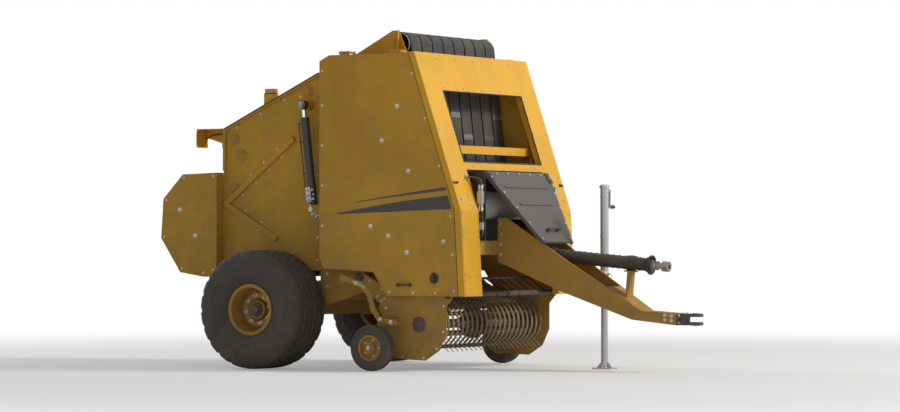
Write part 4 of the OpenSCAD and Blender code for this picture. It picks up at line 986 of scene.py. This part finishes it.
# Pickup
REEL_R, TINES, TINE_EDGE = 120, 21, 60
PITCH = 2 * (PICKUP_Y - TINE_EDGE) / TINES
coil = [(8 * k - 12 + a, r) for k in range(4) for a, r in ((-3.2, 15.6), (0, 20.4), (3.2, 15.6))]
coil += [(15.4, 12.8), (-15.4, 12.8)]
coils, clips, bolts = pieces(3)
for k in range(4):
    a = math.radians(45 + 90 * k)
    away = at(math.sin(a), 0, math.cos(a))
    for i in range(TINES):
        p = at(1500, TINE_EDGE - PICKUP_Y + (i + 0.5) * PITCH, 400) + away * REEL_R
        coils.ring(p, ACROSS, coil, 14)
        clips.stubs(p, -away, (20.5, 8.5, 4.5, 5.5, 7, 6))
coils.make("tine_coils", "tine", "reel", sharp=60)
clips.make("tine_bolts", "bolt", "reel", slot="bare_steel")
for i in range(TINES + 1):
    for z, way in ((623, UP), (177, -UP)):
        bolts.bolt(at(1140, TINE_EDGE - PICKUP_Y + i * PITCH, z), way, 5.5)
bolts.make("band_bolts", "bolt", "pickup")

END_PLATE = [
    (1150, 620), (1165, 540), (1140, 345), (1165, 175), (1330, 122), (1545, 112), (1675, 195), (1740, 340),
    (1745, 560), (1740, 672), (1620, 652), (1400, 672), (1230, 672), (1120, 700), (1000, 770), (1120, 600),
    (1085, 640)]
bolts, caps, arms = pieces(3)
for side, _ in SIDES:
    out = ACROSS * side
    bolts.bolts(on_wall(side, PICKUP_Y, END_PLATE), out, 8.5)
    for x, z, r, holes, turn in ((1500, 400, 66, 4, 0.78), (1790, 660, 40, 3, 0.5), (900, 800, 44, 3, 0.2)):
        caps.flange(x, z, PICKUP_Y, side, r, holes, turn)
    for p in on_wall(side, 1077, [(1300, 420), (1195, 440)]):
        arms.stubs(p, out, (-0.4, 21, 3, 4, 19, 24), (3.5, 14.5, 11, 13, 12, 6))
    arms.turned(at(1160, side * 1210.6, 200), out, [(0, 20), (3, 20), (3, 15), (12, 14), (14, 11)], 6)
    # A row of plugged holes along the arm, with a bolt in one of them
    for k in range(5):
        p = at(930 + 26 * k, side * 1076.8, 765 - 11 * k)
        arms.turned(p, out, [(0, 8.5), (0.8, 8.5), (1.2, 7), (1.2, 0)], 16)
    arms.turned(at(956, side * 1076.6, 754), out, [(0, 17), (3, 17), (3, 12), (12, 12), (14, 10)], 6)
bolts.make("end_plate_bolts", "bolt", "pickup")
caps.make("pickup_bearings", "dark", "pickup")
arms.make("gauge_arm_bolts", "bolt", "pickup")

# Gauge wheels: a ribbed rubber tyre on a pressed steel wheel
TREAD = [
    (-40, 100.5), (-45, 104), (-48, 114), (-52, 122), (-54.5, 140), (-54.8, 152), (-53.6, 154), (-53.6, 158),
    (-54.8, 160), (-54, 172), (-50, 184), (-44, 191), (-36, 195.5), (-30, 197), (-28, 197.2), (-26.5, 192),
    (-21.5, 192), (-20, 198), (-10, 198.8), (-8.5, 192.5), (-3.5, 192.5), (-2, 199)]
TREAD += [(-y, r) for y, r in reversed(TREAD)]
# Half of the pressed wheel, from the rim's edge to its hub, and its mirror image
DISC = [(41, 101), (44, 112), (48, 112), (47, 96), (14, 88), (10, 60), (16, 46), (45, 46), (45, 16.2)]
DISC = [(-y, r) for y, r in DISC[2:0:-1]] + [(-41, 101)] + DISC + [(-y, r) for y, r in DISC[:2:-1]]
for side, word in SIDES:
    rubber, disc, studs = pieces(3)
    centre = at(1160, side * 1150, 200)
    rubber.ring(centre, ACROSS, TREAD, 72)
    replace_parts(rubber.make("gauge_tyre_" + word, "tyre", "gauge_" + word, sharp=28), "gauge_wheel_" + word)
    disc.ring(centre, ACROSS, DISC, 60)
    disc.make("gauge_disc_" + word, "shaded_yellow_low", "gauge_" + word)
    for way in (-ACROSS, ACROSS):
        studs.bolts([centre + p + way * 11.8 for p in circle(72, 5)], way, 7.5)
    studs.make("gauge_bolts_" + word, "bolt", "gauge_" + word)

clamps = Piece()
for y in (-700, -300, -100, 100, 300, 700):
    clamps.band(at(1790, y - 8, 660), ACROSS, 23.8, 29, 16, 28)
    clamps.bolt(at(1790, y, 688.5), UP, 6, False)
clamps.make("guard_clamps", "dark", "crop_guard")

# Net box, its roll's core, and the frame's brackets
NET_BOX = crossed((1625, 1770), (1150, 1690)) + [(1625, 1420), (1920, 1200), (1920, 1400), (1920, 1600)]
FRAME_BOLTS = crossed((-78, 78), (462, 578)) + [(250, 640), (480, 720), (480, 830), (640, 760), (820, 745),
                                                (1010, 760), (1010, 880)]
box_bolts, core, bolts = pieces(3)
for side, _ in SIDES:
    out = ACROSS * side
    box_bolts.bolts(on_wall(side, 555, NET_BOX), out, 7)
    box_bolts.flange(1765, 1430, 555, side, 46, turn=0.3)
    core.band(at(1765, side * 519, 1430), out, 30, 52, 5)
    bolts.bolts(on_wall(side, 793, FRAME_BOLTS), out, 11)
    bolts.bolts(on_wall(side, 833, crossed((1150, 1350, 1550, 1750), (950,))), out, 9)
    bolts.bolts(on_wall(side, PICKUP_Y, crossed((1830, 1870), (1030, 1090))), out, 9)
    bolts.bolts([at(1900, side * y, z) for y, z in crossed((420, 520, 620), (1040, 1080))], FORWARD, 9.5)
box_bolts.make("net_box_bolts", "bolt")
core.make("net_core", "card")
bolts.make("frame_bolts", "bolt")


# Chain rollers over the drive loops of the left side
def loop_points(wheels, out, pitch):
    """Points at an even pitch round the outside of two chain wheels."""
    path = []
    for (px, pz, pr), (qx, qz, qr) in (wheels, wheels[::-1]):
        apart = math.hypot(qx - px, qz - pz)
        a = math.atan2(qz - pz, qx - px) - math.acos((pr - qr) / apart)
        sweep = (math.atan2(pz - qz, px - qx) - math.acos((qr - pr) / apart) - a) % TURN
        path.append((px + (pr + out) * math.cos(a), pz + (pr + out) * math.sin(a)))
        path += [(qx + (qr + out) * math.cos(b), qz + (qr + out) * math.sin(b))
                 for b in (a + sweep * k / 12 for k in range(12))]
    path.append(path[0])
    length = sum(math.dist(a, b) for a, b in zip(path, path[1:]))
    count = int(length / pitch)
    points, due, walked = [], 0.0, 0.0
    for a, b in zip(path, path[1:]):
        d = math.dist(a, b)
        while due <= walked + d and len(points) < count:
            t = (due - walked) / d
            points.append((a[0] + (b[0] - a[0]) * t, a[1] + (b[1] - a[1]) * t))
            due += length / count
        walked += d
    return points


CHAIN_OUT, CHAIN_PITCH = 9.2, 25.4
rollers = Piece()
for y, wheels in ((860.5, ((1680, 1110, 60), (1000, 1040, 110))),
                  (888.5, ((1000, 1040, 70), (1395, 1230, 90)))):
    for p in on_wall(LEFT, y, loop_points(wheels, CHAIN_OUT, CHAIN_PITCH)):
        rollers.turned(p, ACROSS, [(0, 7.5), (1.5, 9.8), (19.5, 9.8), (21, 7.5)], 10)
rollers.make("chain_rollers_left", "steel")
